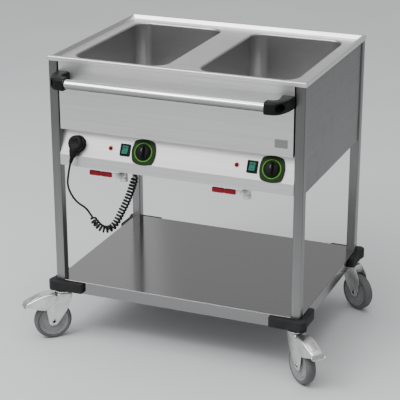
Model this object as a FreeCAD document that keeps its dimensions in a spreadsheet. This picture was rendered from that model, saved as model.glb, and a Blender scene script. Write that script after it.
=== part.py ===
import FreeCAD, Part
import math
import os
import re

import Sketcher
from FreeCAD import Placement, Rotation, Vector

# Heated serving trolley with two wells. Millimetres, +Z up, front towards -Y.
# The origin is on the floor under the middle of the deck.

DRIVING_SIZES = [
    # the whole trolley
    ("deck_height", 955), ("rim_width", 840), ("rim_depth", 625), ("sheet", 1.2), ("panel_sheet", 1.5),
    # pressed deck and its wells
    ("rim_bead", 12), ("rim_slope", 7), ("deck_recess", 12.3), ("well_rim", 55.5), ("well_between", 109),
    ("well_length", 510), ("well_depth", 205), ("well_corner", 47), ("well_lip", 6), ("well_floor_bend", 25),
    # legs and body panels
    ("leg_size", 30), ("leg_wall", 1.5), ("leg_bend", 3), ("leg_inset", 2.5), ("body_drop", 350),
    ("panel_drop", 231), ("panel_gap", 4), ("panel_fold", 15), ("panel_recess", 4),
    # inclined control face and the lip under it
    ("face_tilt", 23.8), ("lip_height", 35), ("control_line", 54), ("dial_shift", 105), ("switch_shift", 42),
    ("lamp_shift", -8), ("plug_inset", 89),
    # shelf and its corner bumpers
    ("shelf_height", 208), ("shelf_apron", 41), ("shelf_lip", 12), ("bumper_arm", 98), ("bumper_thick", 18),
    ("bumper_nose", 26), ("bumper_tall", 33), ("bumper_drop", 3),
    # push handle and the blank plate beside it
    ("bar_radius", 15), ("bar_wall", 1.5), ("bar_reach", 75), ("bar_drop", 61.5), ("bar_inset", 98),
    ("bar_socket", 26), ("bracket_tall", 38), ("bracket_width", 66), ("screw_radius", 3), ("screw_head", 7.5),
    ("screw_cap", 4), ("screw_place", 47), ("screw_end", 9), ("nut_tall", 5), ("plate_inset", 74),
    ("plate_rise", 39), ("plate_width", 40), ("plate_tall", 26), ("plate_thick", 1),
    # dials, switches and lamps
    ("dial_width", 80), ("dial_tall", 82), ("dial_arc", 78), ("dial_thick", 5), ("ring_radius", 31.2),
    ("ring_proud", 1.5), ("ring_width", 6.2), ("knob_radius", 23), ("knob_base", 4), ("knob_grip", 15),
    ("knob_bar", 13), ("shaft_radius", 3), ("shaft_reach", 16),
    ("regulator_width", 40), ("regulator_tall", 42),
    ("regulator_deep", 28), ("tag_width", 24), ("tag_thick", 6), ("tag_reach", 8), ("bushing_wall", 1.8),
    ("frame_width", 34), ("frame_tall", 39), ("frame_thick", 4), ("switch_width", 28), ("switch_tall", 34),
    ("switch_deep", 20), ("switch_floor", 3), ("rocker_width", 20.4), ("rocker_tall", 27.2),
    ("rocker_throw", 10), ("rocker_rise", 5), ("rocker_dip", 3.4), ("rocker_skirt", 4), ("rocker_belly", 7),
    ("rocker_ease", 0.4), ("lamp_collar", 7.8), ("lamp_rim", 2), ("lamp_lens", 6.2), ("lamp_deep", 18),
    # mains plug, its parking socket, cord and gland
    ("socket_flange", 28), ("socket_rim", 3), ("socket_step", 5.2), ("socket_deep", 37), ("socket_bore", 16),
    ("plug_face", 18.8), ("plug_head", 25.5), ("plug_thick", 24), ("plug_bevel", 4), ("plug_spigot", 11),
    ("plug_tail", 46), ("plug_tail_out", 16), ("plug_tail_end", 8), ("plug_lean", 8), ("pin_radius", 2.4),
    ("pin_spread", 19), ("pin_reach", 19), ("cord_radius", 3.3), ("curl_radius", 9.6), ("curl_pitch", 10.9),
    ("cord_span", 159), ("gland_shift", 37.5), ("gland_back", 97), ("gland_tall", 20), ("gland_thread", 8),
    # drain valves and their levers
    ("drain_radius", 6), ("drain_inset", 33), ("pipe_radius", 10.5), ("flange_lap", 4), ("flange_thick", 3),
    ("valve_radius", 13), ("valve_drop", 62), ("valve_nut", 15.5), ("valve_nut_tall", 9), ("lever_drop", 33),
    ("lever_reach", 102), ("lever_tall", 14), ("lever_thick", 2.5), ("hub_radius", 9), ("hub_thick", 8),
    ("hub_nut", 4), ("stem_radius", 4), ("stem_deep", 19), ("boss_reach", 31.7), ("boss_wall", 3),
    ("grip_start", 24), ("grip_tall", 16), ("grip_thick", 9),
    # heating elements and wiring
    ("heater_radius", 4), ("heater_width", 220), ("heater_length", 300), ("terminal_shift", 55),
    ("terminal_length", 48), ("terminal_width", 22), ("terminal_tall", 17), ("terminal_hole", 2.2),
    ("terminal_pitch", 11), ("terminal_deep", 9),
    # casters
    ("wheel_radius", 62.5), ("wheel_width", 32), ("caster_trail", 40), ("hub_half", 17.2), ("hub_boss", 14),
    ("axle_radius", 5), ("axle_head", 8.5), ("axle_nut", 9), ("axle_cap", 5), ("head_radius", 31),
    ("head_thick", 4), ("race_radius", 22), ("race_thick", 3), ("kingpin_radius", 7), ("rivet_radius", 11),
    ("rivet_thick", 5), ("rivet_drop", 3), ("crown_radius", 27), ("crown_top", 159.7), ("crown_bottom", 140),
    ("crown_lap", 10), ("crown_wall", 5), ("fork_gap", 17.5), ("fork_sheet", 2.5), ("pedal_gap", 20.3),
    ("pedal_sheet", 2.5), ("pivot_along", 34), ("pivot_up", 145), ("pivot_radius", 3), ("pivot_end", 1.5),
    ("lug_along", 31.4), ("lug_drop", 13.2), ("lug_radius", 4), ("toe_radius", 3.5), ("toe_lap", 3),
    # clearances: a fit, a gap between bodies, and a running fit on a shaft
    ("fit_gap", 0.2), ("body_gap", 0.3), ("running_gap", 0.05), ("spindle_gap", 0.5),
]

# Places and sizes that follow from the driving ones.
DERIVED = {
    "well_width": "((rim_width - 2*well_rim - well_between)/2)",
    "well_pitch": "(well_width + well_between)",
    "bar_visible": "(rim_width - 2*bar_inset)",
    "plate_across": "(rim_width/2 - plate_inset)",
    "plate_up": "(deck_height - panel_drop + plate_rise)",
    "plug_place": "(plug_inset - rim_width/2)",
    "drain_depth": "(drain_inset - well_length/2)",
    "gland_across": "(gland_shift - well_pitch/2)",
    "gland_depth": "(gland_back + leg_inset - rim_depth/2)",
}

SIDES = {"left": -1, "right": 1}
# Each corner: its side along X, its side along Y and the way its caster trails, in degrees from +X.
CORNERS = {
    "front_left": (-1, -1, 222),
    "front_right": (1, -1, -41),
    "rear_left": (-1, 1, 100),
    "rear_right": (1, 1, -31),
}

BRAKED = ("front_left", "front_right")
# Turns a cylinder or a prism that stands along Z to run along -Y.
FACING = {"axis": Vector(1, 0, 0), "angle": "90"}

doc = FreeCAD.newDocument("serving_trolley")
sheet = doc.addObject("Spreadsheet::Sheet", "sizes")
for row, (alias, amount) in enumerate(DRIVING_SIZES, start=1):
    sheet.set("A%d" % row, alias)
    sheet.set("B%d" % row, str(amount))
    sheet.setAlias("B%d" % row, alias)
doc.recompute()

ALIASES = {alias for alias, amount in DRIVING_SIZES}
nodes = []

# Places that several pieces share, worked out from the driving sizes.
FRONT = "(rim_depth/2 - leg_inset)"
SIDE = "(rim_width/2 - leg_inset)"
LEG_X = "(rim_width/2 - leg_inset - leg_size/2)"
LEG_Y = "(rim_depth/2 - leg_inset - leg_size/2)"
DECK_TOP = "(deck_height - deck_recess)"
DECK_UNDER = "(deck_height - deck_recess - sheet)"
WELL_UNDER = "(deck_height - deck_recess - well_depth - sheet)"
BODY_BOTTOM = "(deck_height - body_drop)"
PANEL_BOTTOM = "(deck_height - panel_drop)"
LIP_TOP = "(deck_height - body_drop + lip_height)"
FACE_TOP_Y = "(-%s + (%s - %s)*tan(face_tilt))" % (FRONT, PANEL_BOTTOM, LIP_TOP)
SHELF_BOTTOM = "(shelf_height - shelf_apron)"
BAR_Y = "(-%s - bar_reach)" % FRONT
BAR_Z = "(deck_height - bar_drop)"
BAR_END = "(bar_visible/2)"
LEVER_Z = "(%s - lever_drop)" % BODY_BOTTOM
SCREW_FLOOR = "(0.36*bar_reach)"


def in_sheet(text):
    """The expression with every driving size named as a cell of the sheet."""
    def as_cell(word):
        name = word.group()
        if name in DERIVED:
            return in_sheet(DERIVED[name])
        return "sizes." + name if name in ALIASES else name
    return re.sub(r"[a-z_]+", as_cell, str(text))


def tie(obj, prop, text):
    obj.setExpression(prop, in_sheet(text))


def number(text):
    return float(sheet.evalExpression(in_sheet(text)))


def times(side, text):
    return "(%d*%s)" % (side, text)


def well_x(side):
    return times(side, "well_pitch/2")


def screw_x(side):
    return times(side, "(%s + screw_place)" % BAR_END)


# ---- sketches and features -------------------------------------------------

def new_body(label):
    body = doc.addObject("PartDesign::Body", label)
    body.Label = label
    return body


def new_sketch(body, plane, offset=0):
    sketch = body.newObject("Sketcher::SketchObject", body.Label + "_sketch")
    base = [feature for feature in body.Origin.OriginFeatures if feature.Role == plane][0]
    sketch.AttachmentSupport = [(base, "")]
    sketch.MapMode = "FlatFace"
    tie(sketch, "AttachmentOffset.Base.z", offset)
    return sketch


def hold(sketch, kind, geometry, point, start, text):
    place = sketch.addConstraint(Sketcher.Constraint(kind, -1, 1, geometry, point, start))
    tie(sketch, "Constraints[%d]" % place, text)


def add_outline(sketch, corners):
    """A closed outline of straight lines through corners given as (x, y) expressions."""
    first = sketch.GeometryCount
    count = len(corners)
    starts = [Vector(10.0 + spot, 5.0 * spot * spot, 0) for spot in range(count)]
    for spot in range(count):
        sketch.addGeometry(Part.LineSegment(starts[spot], starts[(spot + 1) % count]), False)
    for spot in range(count):
        following = first + (spot + 1) % count
        sketch.addConstraint(Sketcher.Constraint("Coincident", first + spot, 2, following, 1))
    for spot, (across, along) in enumerate(corners):
        hold(sketch, "DistanceX", first + spot, 1, starts[spot].x, across)
        hold(sketch, "DistanceY", first + spot, 1, starts[spot].y, along)


def add_rectangle(sketch, low_x, low_y, high_x, high_y):
    add_outline(sketch, [(low_x, low_y), (high_x, low_y), (high_x, high_y), (low_x, high_y)])


def add_centred(sketch, width, length, x=0, y=0):
    add_rectangle(sketch, "%s - (%s)/2" % (x, width), "%s - (%s)/2" % (y, length),
                  "%s + (%s)/2" % (x, width), "%s + (%s)/2" % (y, length))


def add_circle(sketch, x, y, radius):
    ring = sketch.addGeometry(Part.Circle(Vector(5, 5, 0), Vector(0, 0, 1), 3), False)
    hold(sketch, "DistanceX", ring, 3, 5, x)
    hold(sketch, "DistanceY", ring, 3, 5, y)
    size = sketch.addConstraint(Sketcher.Constraint("Radius", ring, 3))
    tie(sketch, "Constraints[%d]" % size, radius)


def finish_feature(feature, sketch, length, back):
    feature.Profile = sketch
    tie(feature, "Length", length)
    feature.Reversed = back
    doc.recompute()
    sketch.Visibility = False
    return feature


def pad(body, sketch, length, back=False):
    return finish_feature(body.newObject("PartDesign::Pad", body.Label + "_pad"), sketch, length, back)


def pocket(body, sketch, length, back=False):
    before = body.Shape.Volume
    feature = body.newObject("PartDesign::Pocket", body.Label + "_pocket")
    finish_feature(feature, sketch, length, back)
    if body.Shape.Volume >= before:
        raise ValueError("a pocket of %s cuts nothing" % body.Label)
    return feature


def revolve(body, sketch):
    feature = body.newObject("PartDesign::Revolution", body.Label + "_turned")
    feature.Profile = sketch
    feature.ReferenceAxis = (sketch, ["V_Axis"])
    feature.Angle = 360
    doc.recompute()
    return feature


def round_edges(body, radius, wanted):
    """Rounds the edges of the body's last feature for which wanted(edge) is true."""
    base = body.Tip
    names = ["Edge%d" % spot for spot, edge in enumerate(base.Shape.Edges, start=1) if wanted(edge)]
    if not names:
        raise ValueError("no edge to round on %s" % body.Label)
    feature = body.newObject("PartDesign::Fillet", body.Label + "_round")
    feature.Base = (base, names)
    tie(feature, "Radius", radius)
    doc.recompute()
    return feature


def is_upright(edge):
    box = edge.BoundBox
    return box.ZLength > 0.5 and box.XLength < 0.01 and box.YLength < 0.01


def upright_at(*spots):
    """A test for upright edges at the given (x, y) places."""
    def wanted(edge):
        centre = edge.BoundBox.Center
        return is_upright(edge) and any(math.hypot(centre.x - x, centre.y - y) < 0.5 for x, y in spots)
    return wanted


def four_corners(half_x, half_y):
    return [(a * half_x, b * half_y) for a in (-1, 1) for b in (-1, 1)]


def level_at(height, reach_x=math.inf, reach_y=math.inf):
    """A test for edges that lie flat at one height, within a reach from the middle."""
    def wanted(edge):
        box = edge.BoundBox
        flat = box.ZLength < 0.01 and abs(box.ZMin - height) < 0.01
        near_x = max(abs(box.XMin), abs(box.XMax)) < reach_x
        near_y = max(abs(box.YMin), abs(box.YMax)) < reach_y
        return flat and near_x and near_y
    return wanted


# ---- primitives and booleans -----------------------------------------------

def place(obj, x=0, y=0, z=0, axis=None, angle=0):
    if axis is not None:
        obj.Placement = Placement(Vector(), Rotation(axis, 1))
        tie(obj, "Placement.Rotation.Angle", angle)
    tie(obj, "Placement.Base.x", x)
    tie(obj, "Placement.Base.y", y)
    tie(obj, "Placement.Base.z", z)
    return obj


def new_box(name, low, size):
    """A box from its lowest corner and its three lengths, all expressions."""
    box = doc.addObject("Part::Box", name)
    for prop, text in zip(("Length", "Width", "Height"), size):
        tie(box, prop, text)
    return place(box, *low)


def new_cylinder(name, radius, height, spot, axis=None, angle=0):
    cylinder = doc.addObject("Part::Cylinder", name)
    tie(cylinder, "Radius", radius)
    tie(cylinder, "Height", height)
    return place(cylinder, *spot, axis=axis, angle=angle)


def joined(name, *pieces):
    union = doc.addObject("Part::MultiFuse", name)
    union.Shapes = list(pieces)
    return union


def shared(name, *pieces):
    common = doc.addObject("Part::MultiCommon", name)
    common.Shapes = list(pieces)
    return common


def cut(name, base, tool):
    rest = doc.addObject("Part::Cut", name)
    rest.Base = base
    rest.Tool = tool
    return rest


def group(name, *pieces):
    bundle = doc.addObject("Part::Compound", name)
    bundle.Links = list(pieces)
    return bundle


def keep(obj, label):
    """Names a finished sub-part and puts it on the list of what is written."""
    obj.Label = label
    nodes.append(obj)
    return obj


def on_face(obj, x, down, out=0, turn=0):
    """Stands a piece on the inclined face: its x right, its y up the face, its z out of it."""
    y = "%s - (%s)*sin(face_tilt) - (%s)*cos(face_tilt)" % (FACE_TOP_Y, down, out)
    z = "%s - (%s)*cos(face_tilt) + (%s)*sin(face_tilt)" % (PANEL_BOTTOM, down, out)
    return place(obj, x, y, z, Vector(1, 0, 0), "90 - face_tilt + %s" % turn)


# ---- deck, wells and frame -------------------------------------------------

def make_deck():
    body = new_body("top_deck")
    base = new_sketch(body, "XY_Plane", DECK_UNDER)
    add_centred(base, "rim_width", "rim_depth")
    pad(body, base, "deck_recess + sheet")
    half_x, half_y = number("rim_width/2"), number("rim_depth/2")
    round_edges(body, "leg_bend", upright_at(*four_corners(half_x, half_y)))
    round_edges(body, "sheet*2", level_at(number("deck_height")))
    mouth = new_sketch(body, "XY_Plane", "deck_height")
    add_centred(mouth, "rim_width - 2*rim_bead", "rim_depth - 2*rim_bead")
    floor = new_sketch(body, "XY_Plane", DECK_TOP)
    add_centred(floor, "rim_width - 2*rim_bead - 2*rim_slope", "rim_depth - 2*rim_bead - 2*rim_slope")
    recess = body.newObject("PartDesign::SubtractiveLoft", "top_deck_recess")
    recess.Profile = mouth
    recess.Sections = [floor]
    recess.Ruled = True
    doc.recompute()
    channel = new_sketch(body, "XY_Plane", DECK_UNDER)
    add_centred(channel, "rim_width - 2*sheet", "rim_depth - 2*sheet")
    add_centred(channel, "rim_width - 2*rim_bead + 2*sheet", "rim_depth - 2*rim_bead + 2*sheet")
    pocket(body, channel, "deck_recess", back=True)
    openings = new_sketch(body, "XY_Plane", DECK_TOP)
    for side in SIDES.values():
        add_centred(openings, "well_width + 2*well_lip", "well_length + 2*well_lip", well_x(side))
    pocket(body, openings, "sheet*3")
    corners = [(number(well_x(side)) + a * number("well_width/2 + well_lip"),
                b * number("well_length/2 + well_lip")) for side in (-1, 1) for a in (-1, 1) for b in (-1, 1)]
    round_edges(body, "well_corner + well_lip", upright_at(*corners))
    keep(body, "top_deck")


def make_well(name, side):
    body = new_body("well_" + name)
    half_x, half_y = number("well_width/2"), number("well_length/2")
    wall, lip = number("sheet"), number("well_lip")

    def corners(out):
        return upright_at(*four_corners(half_x + out, half_y + out))

    shell = new_sketch(body, "XY_Plane", WELL_UNDER)
    add_centred(shell, "well_width + 2*sheet", "well_length + 2*sheet")
    pad(body, shell, "well_depth + sheet - well_lip")
    collar = new_sketch(body, "XY_Plane", "%s - well_lip" % DECK_TOP)
    add_centred(collar, "well_width + 2*well_lip", "well_length + 2*well_lip")
    pad(body, collar, "well_lip")
    hollow = new_sketch(body, "XY_Plane", DECK_TOP)
    add_centred(hollow, "well_width", "well_length")
    pocket(body, hollow, "well_depth")
    round_edges(body, "well_corner", corners(0))
    round_edges(body, "well_corner + sheet", corners(wall))
    round_edges(body, "well_corner + well_lip", corners(lip))
    round_edges(body, "well_floor_bend + sheet", level_at(number(WELL_UNDER)))
    inside = (half_x + 0.5, half_y + 0.5)
    round_edges(body, "well_floor_bend", level_at(number(WELL_UNDER + " + sheet"), *inside))
    round_edges(body, "well_lip*0.9", level_at(number(DECK_TOP), *inside))
    drain = new_sketch(body, "XY_Plane", WELL_UNDER + " + 2*sheet")
    add_circle(drain, 0, "drain_depth", "drain_radius")
    pocket(body, drain, "4*sheet")
    place(body, well_x(side))
    keep(body, "well_" + name)


def make_leg(name, side_x, side_y):
    body = new_body("leg_" + name)
    section = new_sketch(body, "XY_Plane", SHELF_BOTTOM)
    add_centred(section, "leg_size", "leg_size")
    add_centred(section, "leg_size - 2*leg_wall", "leg_size - 2*leg_wall")
    pad(body, section, "%s - %s" % (DECK_UNDER, SHELF_BOTTOM))
    half = number("leg_size/2")
    round_edges(body, "leg_bend", upright_at(*four_corners(half, half)))
    place(body, times(side_x, LEG_X), times(side_y, LEG_Y))
    keep(body, "leg_" + name)


def make_front_panel():
    """A folded sheet between the front legs, its lower fold reaching back to the control face."""
    body = new_body("front_panel")
    half = "(%s - leg_size/2 - panel_gap)" % LEG_X
    within = "(%s - panel_sheet)" % half
    outer = new_sketch(body, "XY_Plane", PANEL_BOTTOM)
    front, fold = "-" + FRONT, "-%s + panel_fold" % FRONT
    inner = "-%s + panel_sheet" % FRONT
    right = [(half, front), (half, fold), (within, fold), (within, inner)]
    add_outline(outer, right + [("-" + x, y) for x, y in reversed(right)])
    pad(body, outer, "%s - %s" % (DECK_UNDER, PANEL_BOTTOM))
    lower = new_sketch(body, "XY_Plane", PANEL_BOTTOM)
    add_rectangle(lower, "-" + half, front, half, FACE_TOP_Y + " + 2*panel_sheet")
    pad(body, lower, "panel_sheet")
    edge = number(half)
    round_edges(body, "panel_sheet", upright_at((edge, -number(FRONT)), (-edge, -number(FRONT))))
    holes = new_sketch(body, "XZ_Plane", FRONT)
    for side in SIDES.values():
        add_circle(holes, screw_x(side), BAR_Z, "screw_radius")
    pocket(body, holes, "2*panel_sheet")
    keep(body, "front_panel")


def make_flat_panels():
    low = BODY_BOTTOM
    tall = "%s - %s" % (DECK_UNDER, BODY_BOTTOM)
    half_y = "(%s - leg_size/2)" % LEG_Y
    half_x = "(%s - leg_size/2)" % LEG_X
    for name, side in SIDES.items():
        face = "(%s - panel_recess)" % SIDE
        start = face + " - panel_sheet" if side > 0 else "-" + face
        size = ("panel_sheet", "2*" + half_y, tall)
        keep(new_box("side_panel_" + name, (start, "-" + half_y, low), size), "side_panel_" + name)
    start = "%s - panel_recess - panel_sheet" % FRONT
    size = ("2*" + half_x, "panel_sheet", tall)
    keep(new_box("rear_panel", ("-" + half_x, start, low), size), "rear_panel")


def make_blank_plate():
    low = ("plate_across - plate_width/2", "-%s - plate_thick" % FRONT, "plate_up - plate_tall/2")
    keep(new_box("blank_plate", low, ("plate_width", "plate_thick", "plate_tall")), "blank_plate")


def make_bottom_plate():
    """The plate under the wells, notched round the legs, with holes for the drains and the cord."""
    body = new_body("bottom_plate")
    half_x = "(%s - panel_recess - panel_sheet)" % SIDE
    notch_x = "(%s - leg_size/2)" % LEG_X
    notch_y = "(%s - leg_size/2)" % LEG_Y
    front = "(-%s + panel_sheet)" % FRONT
    back = "(%s - panel_recess - panel_sheet)" % FRONT
    plate = new_sketch(body, "XY_Plane", BODY_BOTTOM)
    right = [(notch_x, front), (notch_x, "-" + notch_y), (half_x, "-" + notch_y), (half_x, notch_y),
             (notch_x, notch_y), (notch_x, back)]
    add_outline(plate, right + [("-" + x, y) for x, y in reversed(right)])
    pad(body, plate, "panel_sheet")
    holes = new_sketch(body, "XY_Plane", BODY_BOTTOM + " + panel_sheet")
    for side in SIDES.values():
        add_circle(holes, well_x(side), "drain_depth", "pipe_radius + fit_gap")
    add_circle(holes, "gland_across", "gland_depth", "2*cord_radius + fit_gap")
    pocket(body, holes, "2*panel_sheet")
    keep(body, "bottom_plate")


def make_fascia():
    """The inclined control face and its lip, one bent sheet, with the controls' holes."""
    body = new_body("control_fascia")
    half = "(%s - leg_size/2)" % LEG_X
    section = new_sketch(body, "YZ_Plane", "-" + half)
    front = "-" + FRONT
    back = "-%s + panel_sheet" % FRONT
    add_outline(section, [(front, BODY_BOTTOM), (back, BODY_BOTTOM),
                          (back, LIP_TOP + " + panel_sheet*tan(face_tilt/2)"),
                          (FACE_TOP_Y + " + panel_sheet/cos(face_tilt)", PANEL_BOTTOM),
                          (FACE_TOP_Y, PANEL_BOTTOM), (front, LIP_TOP)])
    pad(body, section, "2*" + half)
    height = "(%s - control_line*cos(face_tilt))" % PANEL_BOTTOM
    holes = new_sketch(body, "XZ_Plane")
    for side in SIDES.values():
        well = well_x(side)
        add_circle(holes, well + " + dial_shift", height, "shaft_radius + 2")
        add_circle(holes, well + " + lamp_shift", height, "lamp_lens + fit_gap")
        add_centred(holes, "switch_width + 2*fit_gap",
                    "(switch_tall + 2*fit_gap)*cos(face_tilt) + panel_sheet", well + " + switch_shift", height)
    add_circle(holes, "plug_place", height, "socket_flange - socket_step + fit_gap")
    pocket(body, holes, "rim_depth/2", back=True)
    keep(body, "control_fascia")


# ---- shelf and bumpers -----------------------------------------------------

def make_shelf():
    body = new_body("shelf")
    block = new_sketch(body, "XY_Plane", SHELF_BOTTOM)
    add_centred(block, "2*" + SIDE, "2*" + FRONT)
    pad(body, block, "shelf_apron")
    round_edges(body, "panel_sheet", level_at(number("shelf_height")))
    mouth = new_sketch(body, "XY_Plane", SHELF_BOTTOM)
    add_centred(mouth, "2*%s - 2*shelf_lip" % SIDE, "2*%s - 2*shelf_lip" % FRONT)
    pocket(body, mouth, "panel_sheet", back=True)
    hollow = new_sketch(body, "XY_Plane", SHELF_BOTTOM + " + panel_sheet")
    add_centred(hollow, "2*%s - 2*panel_sheet" % SIDE, "2*%s - 2*panel_sheet" % FRONT)
    pocket(body, hollow, "shelf_apron - 2*panel_sheet", back=True)
    notches = new_sketch(body, "XY_Plane", "shelf_height")
    for side_x, side_y, trail in CORNERS.values():
        add_centred(notches, "leg_size + 2*fit_gap", "leg_size + 2*fit_gap", times(side_x, LEG_X),
                    times(side_y, LEG_Y))
    pocket(body, notches, "2*shelf_apron")
    keep(body, "shelf")


def make_bumper(name, side_x, side_y):
    """An L round one corner of the shelf: two arms and a round nose, less the corner itself."""
    low = "(shelf_height - bumper_drop - bumper_tall)"
    corner_x, corner_y = times(side_x, SIDE), times(side_y, FRONT)
    reach = "bumper_arm + bumper_thick"

    def slab(label, wide, deep):
        start_x = corner_x + (" - %s + bumper_thick" % wide if side_x > 0 else " - bumper_thick")
        start_y = corner_y + (" - %s + bumper_thick" % deep if side_y > 0 else " - bumper_thick")
        return new_box(name + label, (start_x, start_y, low), ("%s" % wide, "%s" % deep, "bumper_tall"))

    along = slab("_along", "(%s)" % reach, "(bumper_thick + panel_sheet)")
    beside = slab("_beside", "(bumper_thick + panel_sheet)", "(%s)" % reach)
    nose = new_cylinder(name + "_nose", "bumper_nose", "bumper_tall", (corner_x, corner_y, low))
    whole = joined(name + "_whole", along, beside, nose)
    hole_x = corner_x + (" - 2*bumper_arm" if side_x > 0 else "")
    hole_y = corner_y + (" - 2*bumper_arm" if side_y > 0 else "")
    core = new_box(name + "_core", (hole_x, hole_y, low + " - bumper_tall"),
                   ("2*bumper_arm", "2*bumper_arm", "3*bumper_tall"))
    return cut(name + "_bumper", whole, core)


# ---- push handle -----------------------------------------------------------

def make_bar():
    body = new_body("handle_bar")
    section = new_sketch(body, "YZ_Plane", "-%s - bar_socket" % BAR_END)
    add_circle(section, BAR_Y, BAR_Z, "bar_radius")
    add_circle(section, BAR_Y, BAR_Z, "bar_radius - bar_wall")
    pad(body, section, "2*%s + 2*bar_socket" % BAR_END)
    keep(body, "handle_bar")


def make_bracket(name, side):
    """A moulded elbow: it holds the end of the bar and curves back to a foot on the body."""
    body = new_body("handle_bracket_" + name)
    wide = "bracket_width"
    front = BAR_Y + " - bracket_tall/2"
    rear = BAR_Y + " + bracket_tall/2"
    wall = "-" + FRONT
    spots = [("0", front), ("0.42*" + wide, front), ("0.74*" + wide, wall + " - 0.88*bar_reach - 6"),
             ("0.93*" + wide, wall + " - 0.62*bar_reach"), (wide, wall + " - 0.3*bar_reach"), (wide, wall),
             ("0.33*" + wide, wall), ("0.33*" + wide, wall + " - 0.24*bar_reach"),
             ("0.42*" + wide, wall + " - 0.46*bar_reach"), ("0.36*" + wide, wall + " - 0.66*bar_reach"),
             ("0.26*" + wide, rear), ("0", rear)]
    outline = new_sketch(body, "XY_Plane", BAR_Z + " - bracket_tall/2")
    add_outline(outline, [("%d*(%s + %s)" % (side, BAR_END, x), y) for x, y in spots])
    pad(body, outline, "bracket_tall")
    curved = [(side * number("%s + %s" % (BAR_END, spots[k][0])), number(spots[k][1])) for k in (2, 3, 4, 8)]
    round_edges(body, "bracket_tall*0.3", upright_at(*curved))
    for level in ("+", "-"):
        round_edges(body, "bracket_tall*0.12", level_at(number("%s %s bracket_tall/2" % (BAR_Z, level))))
    bore = new_sketch(body, "YZ_Plane", times(side, BAR_END))
    add_circle(bore, BAR_Y, BAR_Z, "bar_radius")
    pocket(body, bore, "bar_socket", back=side > 0)
    recess = new_sketch(body, "XZ_Plane", "%s + %s" % (FRONT, SCREW_FLOOR))
    add_circle(recess, screw_x(side), BAR_Z, "screw_head + fit_gap")
    pocket(body, recess, "bar_reach", back=True)
    hole = new_sketch(body, "XZ_Plane", FRONT)
    add_circle(hole, screw_x(side), BAR_Z, "screw_radius")
    pocket(body, hole, "bar_reach/2", back=True)
    keep(body, "handle_bracket_" + name)


def make_screws():
    """One screw through each bracket and the panel, held by a nut behind the panel."""
    pieces = []
    for name, side in SIDES.items():
        x = screw_x(side)
        end_y = "-%s + panel_sheet + screw_end" % FRONT
        head_y = "-%s - %s" % (FRONT, SCREW_FLOOR)
        length = "%s + panel_sheet + screw_end" % SCREW_FLOOR
        shank = new_cylinder("screw_shank_" + name, "screw_radius", length, (x, end_y, BAR_Z), **FACING)
        head = new_cylinder("screw_head_" + name, "screw_head", "screw_cap", (x, head_y, BAR_Z), **FACING)
        socket = doc.addObject("Part::Prism", "screw_socket_" + name)
        tie(socket, "Circumradius", "screw_head*0.45")
        tie(socket, "Height", "screw_cap")
        place(socket, x, head_y + " - screw_cap*0.375", BAR_Z, **FACING)
        nut = doc.addObject("Part::Prism", "screw_nut_" + name)
        tie(nut, "Circumradius", "screw_radius*2.1")
        tie(nut, "Height", "nut_tall")
        place(nut, x, "-%s + panel_sheet + nut_tall" % FRONT, BAR_Z, **FACING)
        pieces.append(cut("screw_" + name, joined("screw_solid_" + name, shank, head, nut), socket))
    keep(group("handle_screws", *pieces), "handle_screws")


# ---- dials, switches and lamps ---------------------------------------------

def dial_place(side):
    return well_x(side) + " + dial_shift"


def switch_place(side):
    return well_x(side) + " + switch_shift"


def make_dial(name, side):
    """A black plate with straight sides and arched ends, a raised ring and a hole for the spindle."""
    arch = "(dial_arc - dial_tall/2)"
    label = "dial_plate_" + name
    slab = new_box(label + "_slab", ("-dial_width/2", "-dial_tall/2", "0"),
                   ("dial_width", "dial_tall", "dial_thick"))
    upper = new_cylinder(label + "_upper", "dial_arc", "dial_thick", ("0", "-" + arch, "0"))
    lower = new_cylinder(label + "_lower", "dial_arc", "dial_thick", ("0", arch, "0"))
    plate = shared(label + "_plate", slab, upper, lower)
    ring = new_cylinder(label + "_ring", "ring_radius", "dial_thick + ring_proud", ("0", "0", "0"))
    dish = new_cylinder(label + "_dish", "ring_radius - ring_width", "2*ring_proud", ("0", "0", "dial_thick"))
    bore = new_cylinder(label + "_bore", "shaft_radius + spindle_gap", "3*dial_thick",
                        ("0", "0", "-dial_thick"))
    whole = cut(label, joined(label + "_whole", plate, ring), joined(label + "_holes", dish, bore))
    keep(on_face(whole, dial_place(side), "control_line"), label)


def make_knob(name, side):
    """A round skirt with a grip across it, moulded on the spindle that turns in the thermostat."""
    body = new_body("knob_" + name)
    base = "dial_thick + body_gap"
    skirt = new_sketch(body, "XY_Plane", base)
    add_circle(skirt, 0, 0, "knob_radius")
    pad(body, skirt, "knob_base")
    dome = new_sketch(body, "XY_Plane", base + " + knob_base")
    add_circle(dome, 0, 0, "knob_radius*0.88")
    pad(body, dome, "knob_base")
    grip = new_sketch(body, "XY_Plane", base + " + knob_base")
    add_centred(grip, "knob_bar", "knob_radius*1.74")
    pad(body, grip, "knob_grip")
    top = number(base + " + knob_base + knob_grip")
    round_edges(body, "knob_bar*0.18", level_at(top))
    spindle = new_sketch(body, "XY_Plane", base + " + knob_base")
    add_circle(spindle, 0, 0, "shaft_radius")
    pad(body, spindle, base + " + knob_base + shaft_reach", back=True)
    keep(on_face(body, dial_place(side), "control_line"), "knob_" + name)


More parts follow.
